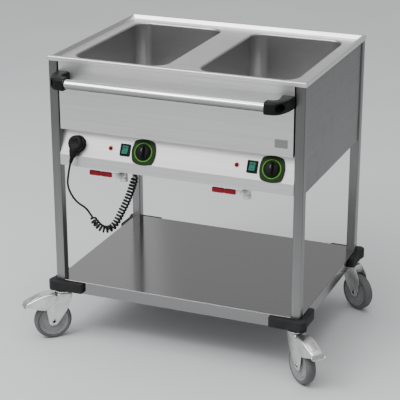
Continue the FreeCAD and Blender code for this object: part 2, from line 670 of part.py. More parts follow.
def make_thermostats():
    """The two regulators behind the control face, each with a bushing for its knob's spindle."""
    pieces = []
    for name, side in SIDES.items():
        case = new_box("thermostat_case_" + name,
                       ("-regulator_width/2", "-regulator_tall/2", "-panel_sheet - regulator_deep"),
                       ("regulator_width", "regulator_tall", "regulator_deep"))
        bushing = new_cylinder("thermostat_bushing_" + name, "shaft_radius + bushing_wall", "2*panel_sheet",
                               ("0", "0", "-2*panel_sheet"))
        bore = new_cylinder("thermostat_bore_" + name, "shaft_radius + running_gap",
                            "shaft_reach + 2*dial_thick", ("0", "0", "-shaft_reach - spindle_gap"))
        tail = new_box("thermostat_tags_" + name,
                       ("-tag_width/2", "-tag_thick/2", "-panel_sheet - regulator_deep - tag_reach"),
                       ("tag_width", "tag_thick", "tag_reach + panel_sheet"))
        whole = cut("thermostat_" + name, joined("thermostat_solid_" + name, case, bushing, tail), bore)
        pieces.append(on_face(whole, dial_place(side), "control_line"))
    keep(group("thermostats", *pieces), "thermostats")


def make_switch(name, side):
    body = new_body("switch_frame_" + name)
    rim = new_sketch(body, "XY_Plane")
    add_centred(rim, "frame_width", "frame_tall")
    pad(body, rim, "frame_thick")
    round_edges(body, "frame_thick*0.5", is_upright)
    case = new_sketch(body, "XY_Plane")
    add_centred(case, "switch_width", "switch_tall")
    pad(body, case, "switch_deep", back=True)
    well = new_sketch(body, "XY_Plane", "frame_thick")
    add_centred(well, "rocker_width + 2*body_gap", "rocker_tall + 6*body_gap")
    pocket(body, well, "frame_thick + switch_deep - switch_floor")
    pivots = new_sketch(body, "YZ_Plane")
    add_circle(pivots, 0, 0, "shaft_radius/2 + running_gap")
    pocket(body, pivots, "rocker_width + shaft_radius + 4*body_gap").Midplane = True
    doc.recompute()
    keep(on_face(body, switch_place(side), "control_line"), "switch_frame_" + name)


def make_rocker(name, side):
    """A rocker with two slanted halves on a small pivot, drawn with its upper half pressed."""
    body = new_body("rocker_" + name)
    half = "rocker_tall/2"
    profile = new_sketch(body, "YZ_Plane")
    end = "(%s - rocker_ease)" % half
    add_outline(profile, [("-" + end, "-rocker_skirt"), ("-" + end, "rocker_rise"), ("0", "rocker_dip"),
                          (end, "rocker_rise"), (end, "-rocker_skirt"), (half + "/2", "-rocker_belly"),
                          ("-%s/2" % half, "-rocker_belly")])
    pad(body, profile, "rocker_width").Midplane = True
    pivots = new_sketch(body, "YZ_Plane")
    add_circle(pivots, 0, 0, "shaft_radius/2")
    pad(body, pivots, "rocker_width + shaft_radius").Midplane = True
    doc.recompute()
    keep(on_face(body, switch_place(side), "control_line", turn="(-rocker_throw)"), "rocker_" + name)


def make_lamps():
    pieces = []
    for name, side in SIDES.items():
        collar = new_cylinder("lamp_collar_" + name, "lamp_collar", "lamp_rim", ("0", "0", "0"))
        case = new_cylinder("lamp_case_" + name, "lamp_lens", "lamp_deep + lamp_rim",
                            ("0", "0", "-lamp_deep"))
        lens = doc.addObject("Part::Sphere", "lamp_lens_" + name)
        tie(lens, "Radius", "lamp_lens*0.9")
        place(lens, "0", "0", "lamp_rim*0.6")
        whole = joined("lamp_" + name, collar, case, lens)
        pieces.append(on_face(whole, well_x(side) + " + lamp_shift", "control_line"))
    keep(group("pilot_lamps", *pieces), "pilot_lamps")


# ---- mains plug, cord and gland --------------------------------------------

def pin_x(spot):
    return times(2 * spot - 1, "pin_spread/2")


def make_park_socket():
    rim = new_cylinder("park_rim", "socket_flange", "socket_rim", ("0", "0", "0"))
    cup = new_cylinder("park_cup", "socket_flange - socket_step", "socket_deep", ("0", "0", "-socket_deep"))
    bore = new_cylinder("park_bore", "plug_face + body_gap", "2*socket_bore",
                        ("0", "0", "socket_rim - socket_bore"))
    holes = [new_cylinder("park_hole_%d" % (spot + 1), "pin_radius + fit_gap", "socket_deep",
                          (pin_x(spot), "0", "-socket_deep + sheet")) for spot in range(2)]
    whole = cut("park_socket", joined("park_solid", rim, cup), joined("park_holes", bore, *holes))
    keep(on_face(whole, "plug_place", "control_line"), "park_socket")


def make_plug():
    """A moulded plug parked in its socket; its tail runs down the face and leans to the left."""
    lean = math.radians(number("plug_lean"))
    along = {"axis": Vector(math.cos(lean), -math.sin(lean), 0), "angle": "90"}
    seat = "(socket_rim + body_gap)"
    head = new_cylinder("plug_rim", "plug_head", "plug_thick*0.75", ("0", "0", seat))
    crown = doc.addObject("Part::Cone", "plug_crown")
    tie(crown, "Radius1", "plug_head")
    tie(crown, "Radius2", "plug_head - plug_bevel")
    tie(crown, "Height", "plug_thick*0.25")
    place(crown, "0", "0", seat + " + plug_thick*0.75")
    tail = doc.addObject("Part::Cone", "plug_cone")
    tie(tail, "Radius1", "plug_tail_end*1.5")
    tie(tail, "Radius2", "plug_tail_end")
    tie(tail, "Height", "plug_tail*0.65")
    start = "plug_tail*0.35"
    place(tail, "-%s*sin(plug_lean)" % start, "-%s*cos(plug_lean)" % start, "plug_tail_out", **along)
    face = new_cylinder("plug_spigot", "plug_face", "plug_spigot + " + seat, ("0", "0", "-plug_spigot"))
    pins = [new_cylinder("plug_pin_%d" % (spot + 1), "pin_radius", "pin_reach + socket_rim",
                         (pin_x(spot), "0", "-plug_spigot - pin_reach")) for spot in range(2)]
    whole = joined("plug", head, crown, tail, face, *pins)
    return keep(on_face(whole, "plug_place", "control_line"), "plug")


def arc_edge(start, along, end):
    """The arc that leaves start along a direction and reaches end."""
    chord = end - start
    half = chord.Length / 2
    side = (along - chord * (along.dot(chord) / chord.dot(chord)))
    if side.Length < 1e-6:
        return Part.LineSegment(start, end).toShape()
    swing = along.getAngle(chord)
    middle = start + chord / 2 + side.normalize() * half * math.tan(swing / 2)
    return Part.Arc(start, middle, end).toShape()


def rounded_route(points):
    """Straight runs between the points, joined by arcs that leave and reach them in line."""
    edges, start = [], points[0]
    for before, corner, after in zip(points, points[1:], points[2:]):
        inward, outward = (corner - before).normalize(), (after - corner).normalize()
        trim = 0.45 * min((corner - before).Length, (after - corner).Length)
        first, last = corner - inward * trim, corner + outward * trim
        edges += [Part.LineSegment(start, first).toShape(), arc_edge(first, inward, last)]
        start = last
    edges.append(Part.LineSegment(start, points[-1]).toShape())
    return edges


def tube_along(edges, radius):
    """One unbroken tube along edges that meet in line, each a straight run or an arc."""
    spine = Part.Wire(edges)
    start, ahead = edges[0].valueAt(edges[0].FirstParameter), edges[0].tangentAt(edges[0].FirstParameter)
    ring = Part.Wire(Part.makeCircle(radius, start, ahead))
    shell = Part.BRepOffsetAPI.MakePipeShell(spine)
    shell.add(ring)
    shell.build()
    shell.makeSolid()
    return shell.shape()


def add_shape(label, shape):
    feature = doc.addObject("Part::Feature", label)
    feature.Shape = shape
    return keep(feature, label)


# The cord from the plug's tail to its curls, and the line down the middle of the curls, measured from
# under the plug, where the body's front face and its underside meet. Both stretch with the way from
# the plug to the gland, which is cord_span as drawn.
CORD_ROUTE = [(-9.5, -26.6, 14.4), (-17, -26, -22), (-26, -18, -56), (-21, -9, -90), (-3, 0, -122),
              (26.9, 5.7, -138.5), (32.5, 11, -153)]
CURL_LINE = [(32.5, 11, -153), (41, 19, -175), (49.5, 28, -198), (65, 40.5, -219), (88, 55.5, -219),
             (102.5, 68, -197), (113.5, 78, -168.4), (133.2, 87, -124.6), (147, 94, -81), (158, 97, -42),
             (159, 97, -31), (159, 97, -20)]


def cord_place(point):
    across, out, up = point
    stretch = number("(gland_across - plug_place)/cord_span")
    return Vector(number("plug_place") + across * stretch, out - number(FRONT), up + number(BODY_BOTTOM))


def make_straight_cord(plug):
    lean = math.radians(number("plug_lean"))
    tail = Vector(-math.sin(lean), -math.cos(lean), 0) * number("plug_tail")
    start = plug.Placement.multVec(tail + Vector(0, 0, number("plug_tail_out")))
    points = [start] + [cord_place(point) for point in CORD_ROUTE]
    add_shape("cord_straight", tube_along(rounded_route(points), number("cord_radius")))


def curl_spline():
    line = Part.BSplineCurve()
    poles = [cord_place(point) for point in CURL_LINE]
    spans = len(poles) - 2
    line.buildFromPolesMultsKnots(poles, [3] + [1] * (spans - 1) + [3], list(range(spans + 1)), False, 2)
    return line


def curl_points(quarters):
    """The two ends of the curls, and the points and directions along them between, a part of a turn apart.

    The cord leaves the middle line and joins it again over a few turns, which open as they go.
    """
    line = curl_spline()
    length = line.length()
    lead = 2 * number("cord_radius")
    turns = round((length - 2 * lead) / number("curl_pitch"))
    count = turns * quarters
    fine, opening = 8, 3
    side = line.tangent(line.FirstParameter)[0].cross(Vector(0, 1, 0)).normalize()
    angle, path = 0, []
    for spot in range(count * fine + 1):
        part = spot / (count * fine)
        where = line.parameterAtDistance(lead + part * (length - 2 * lead), line.FirstParameter)
        ahead = line.tangent(where)[0]
        side = (side - ahead * side.dot(ahead)).normalize()
        ramp = min(1, part * turns / opening, (1 - part) * turns / opening)
        share = ramp * ramp * (3 - 2 * ramp)
        angle += 2 * math.pi * share / (quarters * fine)
        spoke = side * math.cos(angle) + ahead.cross(side) * math.sin(angle)
        path.append(line.value(where) + spoke * number("curl_radius") * share)
    ends = [line.value(line.FirstParameter), line.value(line.LastParameter)]
    first, last = line.tangent(line.FirstParameter)[0], line.tangent(line.LastParameter)[0]
    knots = range(0, count * fine + 1, fine)
    ways = [(path[knot + 1] - path[knot - 1]).normalize() for knot in knots[1:-1]]
    return ends, [path[knot] for knot in knots], [first] + ways + [last]


def biarc(start, ahead, end, onward):
    """Two arcs that leave start and reach end along the given directions."""
    chord = end - start
    both = ahead + onward
    bend = 2 * (1 - ahead.dot(onward))
    if bend < 1e-9:
        return [Part.LineSegment(start, end).toShape()]
    reach = (-chord.dot(both) + math.sqrt(chord.dot(both) ** 2 + bend * chord.dot(chord))) / bend
    joint = (start + ahead * reach + end - onward * reach) / 2
    meeting = (end - onward * reach - start - ahead * reach).normalize()
    return [arc_edge(start, ahead, joint), arc_edge(joint, meeting, end)]


def least_gap(edges):
    """The least gap between stretches of the wound cord over five radii apart along it."""
    radius = number("cord_radius")
    points, travelled = [], 0
    for edge in edges:
        span = edge.LastParameter - edge.FirstParameter
        for part in range(4):
            where = travelled + edge.Length * part / 4
            points.append((where, edge.valueAt(edge.FirstParameter + span * part / 4)))
        travelled += edge.Length
    nearest = min((b - a).Length for spot, (start, a) in enumerate(points)
                  for end, b in points[spot + 1:] if end - start > 5 * radius)
    return nearest - 2 * radius


def make_curls():
    """The curly stretch as one unbroken tube on arcs, two to each quarter turn."""
    ends, points, ways = curl_points(4)
    edges = [Part.LineSegment(ends[0], points[0]).toShape()]
    for spot in range(len(points) - 1):
        edges += biarc(points[spot], ways[spot], points[spot + 1], ways[spot + 1])
    edges.append(Part.LineSegment(points[-1], ends[1]).toShape())
    print("least gap of the curly cord to itself: %.2f mm" % least_gap(edges))
    add_shape("cord_curly", tube_along(edges, number("cord_radius")))


def make_gland():
    x, y = "gland_across", "gland_depth"
    low = "%s - gland_tall" % BODY_BOTTOM
    skirt = new_cylinder("gland_skirt", "cord_radius*3.2", "gland_tall*0.6", (x, y, low))
    flats = doc.addObject("Part::Prism", "gland_flats")
    tie(flats, "Circumradius", "cord_radius*3.8")
    tie(flats, "Height", "gland_tall*0.4")
    place(flats, x, y, low + " + gland_tall*0.6")
    thread = new_cylinder("gland_screw", "2*cord_radius", "panel_sheet + gland_thread", (x, y, BODY_BOTTOM))
    nut = doc.addObject("Part::Prism", "gland_nut")
    tie(nut, "Circumradius", "cord_radius*3.4")
    tie(nut, "Height", "nut_tall")
    place(nut, x, y, BODY_BOTTOM + " + panel_sheet")
    keep(joined("cord_gland", skirt, flats, thread, nut), "cord_gland")


def make_terminal_block():
    x, y = "gland_across", "(gland_depth + terminal_shift)"
    low = "(%s + panel_sheet)" % BODY_BOTTOM
    block = new_box("terminal_case", (x + " - terminal_length/2", y + " - terminal_width/2", low),
                    ("terminal_length", "terminal_width", "terminal_tall"))
    floor = low + " + terminal_tall - terminal_deep"
    holes = [new_cylinder("terminal_hole_%d" % (spot + 1), "terminal_hole", "terminal_tall",
                          ("%s + (%g)*terminal_pitch" % (x, spot - 1.5), y, floor)) for spot in range(4)]
    keep(cut("terminal_block", block, joined("terminal_holes", *holes)), "terminal_block")


def make_heaters():
    """A looped tube under the floor of each well, clear of its drain."""
    radius = number("heater_radius")
    half_x, half_y = number("heater_width/2"), number("heater_length/2")
    height = number(WELL_UNDER) - radius
    bend = half_x / 4
    pieces = []
    for side in SIDES.values():
        middle = number(well_x(side))
        edges, x, y = [], middle - half_x, -half_y
        for leg in range(4):
            far = -y
            edges.append(Part.LineSegment(Vector(x, y, height), Vector(x, far, height)).toShape())
            if leg < 3:
                swing = bend if far > 0 else -bend
                edges.append(Part.Arc(Vector(x, far, height), Vector(x + bend, far + swing, height),
                                      Vector(x + 2 * bend, far, height)).toShape())
            x, y = x + 2 * bend, far
        pieces.append(tube_along(edges, radius))
    add_shape("heaters", Part.makeCompound(pieces))


# ---- drain valves ----------------------------------------------------------

def make_valve(name, side):
    x, y = well_x(side), "drain_depth"
    label = "drain_valve_" + name
    end = "(%s - valve_drop)" % BODY_BOTTOM
    flange = new_cylinder(label + "_flange", "pipe_radius + flange_lap", "flange_thick",
                          (x, y, WELL_UNDER + " - flange_thick"))
    pipe = new_cylinder(label + "_pipe", "pipe_radius", "%s - %s" % (WELL_UNDER, BODY_BOTTOM),
                        (x, y, BODY_BOTTOM))
    case = new_cylinder(label + "_case", "valve_radius", "valve_drop", (x, y, end))
    nut = doc.addObject("Part::Prism", label + "_nut")
    tie(nut, "Circumradius", "valve_nut")
    tie(nut, "Height", "valve_nut_tall")
    place(nut, x, y, BODY_BOTTOM + " - valve_nut_tall")
    boss = new_cylinder(label + "_boss", "stem_radius + boss_wall", "boss_reach", (x, y, LEVER_Z), **FACING)
    bore = new_cylinder(label + "_bore", "drain_radius", "%s - %s + 2*sheet" % (WELL_UNDER, end),
                        (x, y, end + " - sheet"))
    stem = new_cylinder(label + "_stem", "stem_radius + running_gap", "stem_deep + 2*sheet",
                        (x, y + " - boss_reach + stem_deep + sheet", LEVER_Z), **FACING)
    whole = joined(label + "_whole", flange, pipe, case, nut, boss)
    keep(cut(label, whole, joined(label + "_bores", bore, stem)), label)


def make_lever(name, side):
    """A steel strip on the valve's stem with a soft red grip; it points left and swings down."""
    hub_y = "drain_depth - boss_reach - body_gap"
    label = "valve_lever_" + name
    x = well_x(side)
    hub = new_cylinder(label + "_hub", "hub_radius", "hub_thick", (x, hub_y, LEVER_Z), **FACING)
    stem = new_cylinder(label + "_stem", "stem_radius", "stem_deep + sheet",
                        (x, hub_y + " + stem_deep", LEVER_Z), **FACING)
    nut = doc.addObject("Part::Prism", label + "_nut")
    tie(nut, "Circumradius", "hub_radius*0.75")
    tie(nut, "Height", "hub_nut")
    place(nut, x, hub_y + " - hub_thick", LEVER_Z, **FACING)
    middle = hub_y + " - hub_thick/2"
    strip_low = (x + " - lever_reach + sheet", middle + " - lever_thick/2", LEVER_Z + " - lever_tall/2")
    strip_size = ("lever_reach - sheet", "lever_thick", "lever_tall")
    strip = new_box(label + "_strip", strip_low, strip_size)
    keep(joined(label, hub, stem, nut, strip), label)
    label = "lever_grip_" + name
    grip_low = (x + " - lever_reach", middle + " - grip_thick/2", LEVER_Z + " - grip_tall/2")
    sleeve = new_box(label + "_sleeve", grip_low, ("lever_reach - grip_start", "grip_thick", "grip_tall"))
    slot = new_box(label + "_slot", strip_low, strip_size)
    keep(cut(label, sleeve, slot), label)


# ---- casters ---------------------------------------------------------------

def at_corner(obj, corner, along=0, up=0):
    """Stands a caster piece, drawn along its own X, at its corner and turned to its trail."""
    side_x, side_y, trail = CORNERS[corner]
    return place(obj, "%s + (%s)*cos(%d)" % (times(side_x, LEG_X), along, trail),
                 "%s + (%s)*sin(%d)" % (times(side_y, LEG_Y), along, trail), up,
                 Vector(0, 0, 1), "%d" % trail)


def make_heads():
    """The fixed part of each caster: a plug in the leg, a plate, the upper race and the kingpin."""
    pieces = []
    for corner, (side_x, side_y, trail) in CORNERS.items():
        x, y = times(side_x, LEG_X), times(side_y, LEG_Y)
        inside = "(leg_size - 2*leg_wall)"
        plug_low = ("%s - %s/2" % (x, inside), "%s - %s/2" % (y, inside), SHELF_BOTTOM)
        plug = new_box("head_plug_" + corner, plug_low, (inside, inside, "leg_size"))
        low = SHELF_BOTTOM + " - head_thick"
        plate = new_cylinder("head_plate_" + corner, "head_radius", "head_thick", (x, y, low))
        race = new_cylinder("head_race_" + corner, "race_radius", "race_thick", (x, y, low + " - race_thick"))
        pin_tall = "crown_top - crown_bottom + rivet_thick + rivet_drop"
        pin = new_cylinder("head_pin_" + corner, "kingpin_radius", pin_tall,
                           (x, y, "crown_bottom - rivet_drop"))
        rivet = new_cylinder("head_rivet_" + corner, "rivet_radius", "rivet_thick",
                             (x, y, "crown_bottom - body_gap - rivet_thick"))
        pieces.append(joined("head_" + corner, plug, plate, race, pin, rivet))
    keep(group("caster_heads", *pieces), "caster_heads")


# Outlines of the fork's side plate and of the pedal's outside and inside, and the middle of the pedal's
# rolled toe: how far along the trail and how high, in wheel radii.
FORK_TOP = (-0.384, 0.64)
FORK_SIDE = [(-0.352, 2.256), (-0.272, 2), (-0.176, 1.744), (-0.032, 1.488), (0.16, 1.232), (0.384, 0.928),
             (0.48, 0.816), (0.576, 0.776), (0.8, 0.776), (0.896, 0.88), (1.024, 1.696), (0.832, 2.08)]
PEDAL_OUTSIDE = [(0.448, 2.464), (0.576, 2.56), (1.184, 2.5216), (1.616, 2.36), (1.936, 2.24), (2.208, 2.112),
                 (2.176, 2.048), (1.92, 1.888), (1.456, 1.728), (1.024, 1.696), (0.736, 2.016), (0.448, 2.176)]
PEDAL_INSIDE = [(0.32, 1.6), (0.32, 2.432), (0.576, 2.512), (1.184, 2.4736), (1.6, 2.3168), (1.92, 2.1984),
                (2.128, 2.0992), (2.096, 2.016), (2, 1.6)]
PEDAL_TOE = (2.16, 2.072)


def in_wheel_radii(spots):
    return [("%g*wheel_radius" % along, "%g*wheel_radius" % up) for along, up in spots]


def make_fork(corner):
    body = new_body("caster_fork_" + corner)
    width = "(2*fork_gap + 2*fork_sheet)"
    side = new_sketch(body, "XZ_Plane")
    top = [("%g*wheel_radius" % along, "crown_bottom + crown_lap") for along in FORK_TOP]
    add_outline(side, top[:1] + in_wheel_radii(FORK_SIDE) + top[1:])
    pad(body, side, width).Midplane = True
    crown = new_sketch(body, "XY_Plane", "crown_top")
    add_circle(crown, 0, 0, "crown_radius")
    pad(body, crown, "crown_top - crown_bottom", back=True)
    round_edges(body, "fork_sheet", level_at(number("crown_top")))
    gap = new_sketch(body, "XZ_Plane")
    add_rectangle(gap, "-crown_radius - crown_lap", "0", "3*caster_trail", "crown_bottom")
    pocket(body, gap, "2*fork_gap").Midplane = True
    hollow = new_sketch(body, "XZ_Plane")
    add_rectangle(hollow, "crown_radius + body_gap", "crown_bottom - fork_sheet",
                  "3*caster_trail", "crown_top")
    pocket(body, hollow, "2*fork_gap").Midplane = True
    doc.recompute()
    under = new_sketch(body, "XY_Plane", "crown_bottom")
    add_circle(under, 0, 0, "crown_radius - crown_wall")
    add_circle(under, 0, 0, "kingpin_radius + crown_wall")
    pocket(body, under, "crown_top - crown_bottom - 2*fork_sheet", back=True)
    bore = new_sketch(body, "XY_Plane", "crown_top + fork_sheet")
    add_circle(bore, 0, 0, "kingpin_radius + running_gap")
    pocket(body, bore, "crown_top - crown_bottom + 2*fork_sheet")
    axle = new_sketch(body, "XZ_Plane")
    add_circle(axle, "caster_trail", "wheel_radius", "axle_radius")
    pocket(body, axle, width + " + fork_sheet").Midplane = True
    if corner in BRAKED:
        pivot = new_sketch(body, "XZ_Plane")
        add_circle(pivot, "pivot_along", "pivot_up", "pivot_radius")
        pad(body, pivot, "2*pedal_gap + 2*pedal_sheet + 2*pivot_end").Midplane = True
    doc.recompute()
    keep(at_corner(body, corner), "caster_fork_" + corner)


def make_pedal(corner):
    """A channel over the fork with a rolled toe; pressing the toe brings its lug to the wheel."""
    body = new_body("caster_pedal_" + corner)
    width = "(2*pedal_gap + 2*pedal_sheet)"
    side = new_sketch(body, "XZ_Plane")
    add_outline(side, in_wheel_radii(PEDAL_OUTSIDE))
    pad(body, side, width).Midplane = True
    inner = new_sketch(body, "XZ_Plane")
    add_outline(inner, in_wheel_radii(PEDAL_INSIDE))
    pocket(body, inner, "2*pedal_gap").Midplane = True
    lug = new_sketch(body, "XZ_Plane")
    add_circle(lug, "pivot_along + lug_along", "pivot_up - lug_drop", "lug_radius")
    pad(body, lug, "2*pedal_gap + pedal_sheet").Midplane = True
    toe = new_sketch(body, "XZ_Plane")
    add_circle(toe, *in_wheel_radii([PEDAL_TOE])[0], "toe_radius")
    pad(body, toe, width + " + 2*toe_lap").Midplane = True
    pivot = new_sketch(body, "XZ_Plane")
    add_circle(pivot, "pivot_along", "pivot_up", "pivot_radius + running_gap")
    pocket(body, pivot, width + " + pedal_sheet").Midplane = True
    doc.recompute()
    keep(at_corner(body, corner), "caster_pedal_" + corner)


def make_wheel(corner):
    body = new_body("caster_wheel_" + corner)
    half = "(wheel_width/2)"
    profile = new_sketch(body, "XY_Plane")
    bore = "axle_radius + running_gap"
    near = [(bore, "hub_half"), ("hub_boss", "hub_half"), ("hub_boss", half + "*0.6"),
            ("wheel_radius*0.66", half + "*0.6"), ("wheel_radius*0.72", half + "*0.9"),
            ("wheel_radius*0.86", half), ("wheel_radius*0.96", half + "*0.8"),
            ("wheel_radius", half + "*0.5")]
    add_outline(profile, near + [(x, "-" + y) for x, y in reversed(near)])
    revolve(body, profile)
    at_corner(body, corner, "caster_trail", "wheel_radius")
    keep(body, "caster_wheel_" + corner)


def make_axle(corner):
    """A bolt through the fork and the wheel, with its head and nut outside the fork."""
    reach = "(fork_gap + fork_sheet)"
    label = "caster_axle_" + corner
    bolt = new_cylinder(label + "_bolt", "axle_radius", "2*%s + axle_cap" % reach,
                        ("0", reach + " + axle_cap/2", "0"), **FACING)
    head = new_cylinder(label + "_head", "axle_head", "axle_cap", ("0", reach + " + axle_cap", "0"), **FACING)
    nut = doc.addObject("Part::Prism", label + "_nut")
    tie(nut, "Circumradius", "axle_nut")
    tie(nut, "Height", "axle_cap")
    place(nut, "0", "-" + reach, "0", **FACING)
    whole = joined(label, bolt, head, nut)
    keep(at_corner(whole, corner, "caster_trail", "wheel_radius"), label)


# ---- the whole trolley -----------------------------------------------------

def main():
    make_deck()
    make_front_panel()
    make_flat_panels()
    make_bottom_plate()
    make_fascia()
    make_shelf()
    make_bar()
    make_screws()
    make_thermostats()
    make_lamps()
    make_park_socket()
    plug = make_plug()
    make_gland()
    make_terminal_block()
    make_heaters()
    make_heads()
    make_blank_plate()
    for name, side in SIDES.items():
        make_well(name, side)
        make_bracket(name, side)
        make_dial(name, side)
        make_knob(name, side)
        make_switch(name, side)
        make_rocker(name, side)
        make_valve(name, side)
        make_lever(name, side)
    bumpers = []
    for name, (side_x, side_y, trail) in CORNERS.items():
        make_leg(name, side_x, side_y)
        bumpers.append(make_bumper(name, side_x, side_y))
        make_fork(name)
        make_wheel(name)
        make_axle(name)
    keep(group("corner_bumpers", *bumpers), "corner_bumpers")
    for name in BRAKED:
        make_pedal(name)
    doc.recompute()
    make_straight_cord(plug)
    make_curls()
    doc.recompute()


def check_and_write():
    for item in doc.Objects:
        if "Invalid" in item.State or "Error" in item.State:
            raise ValueError("%s did not build" % item.Label)
    for node in nodes:
        if node.Shape.isNull() or not node.Shape.isValid() or node.Shape.Volume <= 0:
            raise ValueError("%s has no sound solid" % node.Label)
    os.makedirs("parts", exist_ok=True)
    for node in nodes:
        node.Shape.exportStep("parts/%s.step" % node.Label)
    print(len(nodes), "nodes written")


main()
check_and_write()
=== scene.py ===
import math

import bmesh
import bpy
from mathutils import Matrix, Vector


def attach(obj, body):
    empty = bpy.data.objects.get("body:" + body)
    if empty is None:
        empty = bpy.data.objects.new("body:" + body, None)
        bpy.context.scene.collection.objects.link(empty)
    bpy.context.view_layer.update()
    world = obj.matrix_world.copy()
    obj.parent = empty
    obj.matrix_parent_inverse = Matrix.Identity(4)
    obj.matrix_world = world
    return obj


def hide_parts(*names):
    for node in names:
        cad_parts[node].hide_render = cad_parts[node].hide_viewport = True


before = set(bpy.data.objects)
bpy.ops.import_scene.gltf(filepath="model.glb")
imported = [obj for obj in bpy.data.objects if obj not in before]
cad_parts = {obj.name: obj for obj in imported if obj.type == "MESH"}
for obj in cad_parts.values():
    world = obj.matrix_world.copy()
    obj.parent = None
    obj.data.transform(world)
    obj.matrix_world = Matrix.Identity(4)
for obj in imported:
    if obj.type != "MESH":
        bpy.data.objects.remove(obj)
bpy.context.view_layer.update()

# Lengths are the CAD model's, in millimetres until a piece is finished.
toMetres = 0.001
sides = {"left": -1, "right": 1}
wellPitch = 419
legPlace = (402.5, 295)
casters = {"front_left": (-1, -1, 222), "front_right": (1, -1, -41),  # side, depth, angle of the trail
           "rear_left": (-1, 1, 100), "rear_right": (1, 1, -31)}
panelFace = {"tilt": math.radians(23.8), "front": -310, "tall": 84, "top": 724, "middle": 54}
# Places along the face: the plug's from the middle, the others' from each well's middle.
controls = {"plug": -331, "dial": 105, "rocker": 42, "lamp": -8}


# A shift, and below it a turn in degrees about an axis.
def moved(x=0, y=0, z=0):
    return Matrix.Translation((x, y, z))


def turned(angle, axis):
    return Matrix.Rotation(math.radians(angle), 4, axis)


# A control's place on the inclined face: x to the right, y up the face and z out of it.
def facePlace(control, side=0):
    tilt, down = panelFace["tilt"], panelFace["middle"]
    y = panelFace["front"] + panelFace["tall"] * math.tan(tilt) - down * math.sin(tilt)
    z = panelFace["top"] - down * math.cos(tilt)
    return moved(side * wellPitch / 2 + controls[control], y, z) @ Matrix.Rotation(math.pi / 2 - tilt, 4, "X")


# A caster's own place: x along its trail, y along its axle and z up.
def casterPlace(corner, along=0, up=0):
    side, depth, trail = casters[corner]
    return moved(side * legPlace[0], depth * legPlace[1]) @ turned(trail, "Z") @ moved(along, 0, up)


def addObject(name, data):
    made = bpy.data.objects.new(name, data)
    bpy.context.scene.collection.objects.link(made)
    return made


def rectangle(left, low, right, high):
    return [(left, low), (right, low), (right, high), (left, high)]


# The outline at one height.
def lifted(outline, height):
    return [(x, y, height) for x, y in outline]


def circlePoints(radius, count):
    turns = [2 * math.pi * spot / count for spot in range(count)]
    return [(radius * math.cos(turn), radius * math.sin(turn)) for turn in turns]


# A ring of points round a centre, as far as the two ways given and its reach.
def ringRound(centre, wide, deep, count, reach=1):
    return [centre + (wide * x + deep * y) * reach for x, y in circlePoints(1, count)]


# Skins a list of equal rings, each a list of points in order round the form.
def joinRings(shape, rings, place=Matrix(), closed=False, slot=0):
    made = [[shape.verts.new(place @ Vector(point)) for point in ring] for ring in rings]
    count = len(made[0])
    faces = []
    for lower, upper in zip(made, made[1:] + (made[:1] if closed else [])):
        for spot in range(count):
            following = (spot + 1) % count
            faces.append(shape.faces.new((lower[spot], lower[following], upper[following], upper[spot])))
    if not closed:
        faces += [shape.faces.new(made[0][::-1]), shape.faces.new(made[-1])]
    for face in faces:
        face.material_index = slot


# Turns (radius, height) points round the place's own Z.
def lathe(shape, profile, place=Matrix(), steps=64, slot=0, closed=False):
    rings = [lifted(circlePoints(max(radius, 1e-4), steps), height) for radius, height in profile]
    joinRings(shape, rings, place, closed, slot)


# The outline with each corner rounded by its radius.
def roundedOutline(outline, radii, steps=5):
    count = len(outline)
    points = []
    for spot, radius in enumerate(radii if isinstance(radii, list) else [radii] * count):
        here = Vector(outline[spot])
        before = Vector(outline[spot - 1]) - here
        after = Vector(outline[(spot + 1) % count]) - here
        angle = before.angle(after)
        if abs(angle - math.pi) < 0.02:  # nothing to round on a straight run
            points.append(tuple(here))
            continue
        trim = min(radius / math.tan(angle / 2), before.length * 0.49, after.length * 0.49)
        radius = trim * math.tan(angle / 2)
        before, after = before.normalized(), after.normalized()
        centre = here + (before + after).normalized() * (radius / math.sin(angle / 2))
        first, last = here + before * trim - centre, here + after * trim - centre
        swing = first.angle_signed(last) if first.length > 1e-9 else 0
        for part in range(steps + 1):
            turn = -swing * part / steps
            spoke = Vector((first.x * math.cos(turn) - first.y * math.sin(turn),
                            first.x * math.sin(turn) + first.y * math.cos(turn)))
            points.append(tuple(centre + spoke))
    return points


# The outline moved inwards; a sharp corner moves no further than about three times as much.
def insetOutline(outline, inset):
    result = []
    for spot, corner in enumerate(outline):
        here = Vector(corner)
        before = (here - Vector(outline[spot - 1])).normalized()
        after = (Vector(outline[(spot + 1) % len(outline)]) - here).normalized()
        inwards = Vector((-before.y - after.y, before.x + after.x)).normalized()
        share = max(0.35, inwards.dot(Vector((-before.y, before.x))))
        result.append(tuple(here + inwards * (inset / share)))
    return result


# A flat form between two heights with its rim rounded over by edge.
def plate(shape, outline, low, high, place=Matrix(), edge=0.6, slot=0, steps=2):
    if sum(a[0] * b[1] - b[0] * a[1] for a, b in zip(outline, outline[1:] + outline[:1])) < 0:
        outline = outline[::-1]
    turns = [math.pi / 2 * part / steps for part in range(steps + 1)]
    rim = [(edge * (1 - math.sin(turn)), edge * (1 - math.cos(turn))) for turn in turns]
    levels = [(inset, low + rise) for inset, rise in rim]
    levels += [(inset, high - rise) for inset, rise in rim[::-1]]
    rings = [lifted(insetOutline(outline, inset), height) for inset, height in levels]
    joinRings(shape, rings, place, slot=slot)


# A centred rectangle, given by its half width and half length, with its corners rounded.
def roundedBox(wide, tall, corner, steps=5):
    return roundedOutline(rectangle(-wide, -tall, wide, tall), corner, steps)


def hexNut(shape, radius, corner, low, high, edge, place):
    plate(shape, roundedOutline(circlePoints(radius, 6), corner, 2), low, high, place, edge)


def box(shape, low, high, place=Matrix(), edge=0.6, slot=0):
    plate(shape, rectangle(low[0], low[1], high[0], high[1]), low[2], high[2], place, edge, slot)


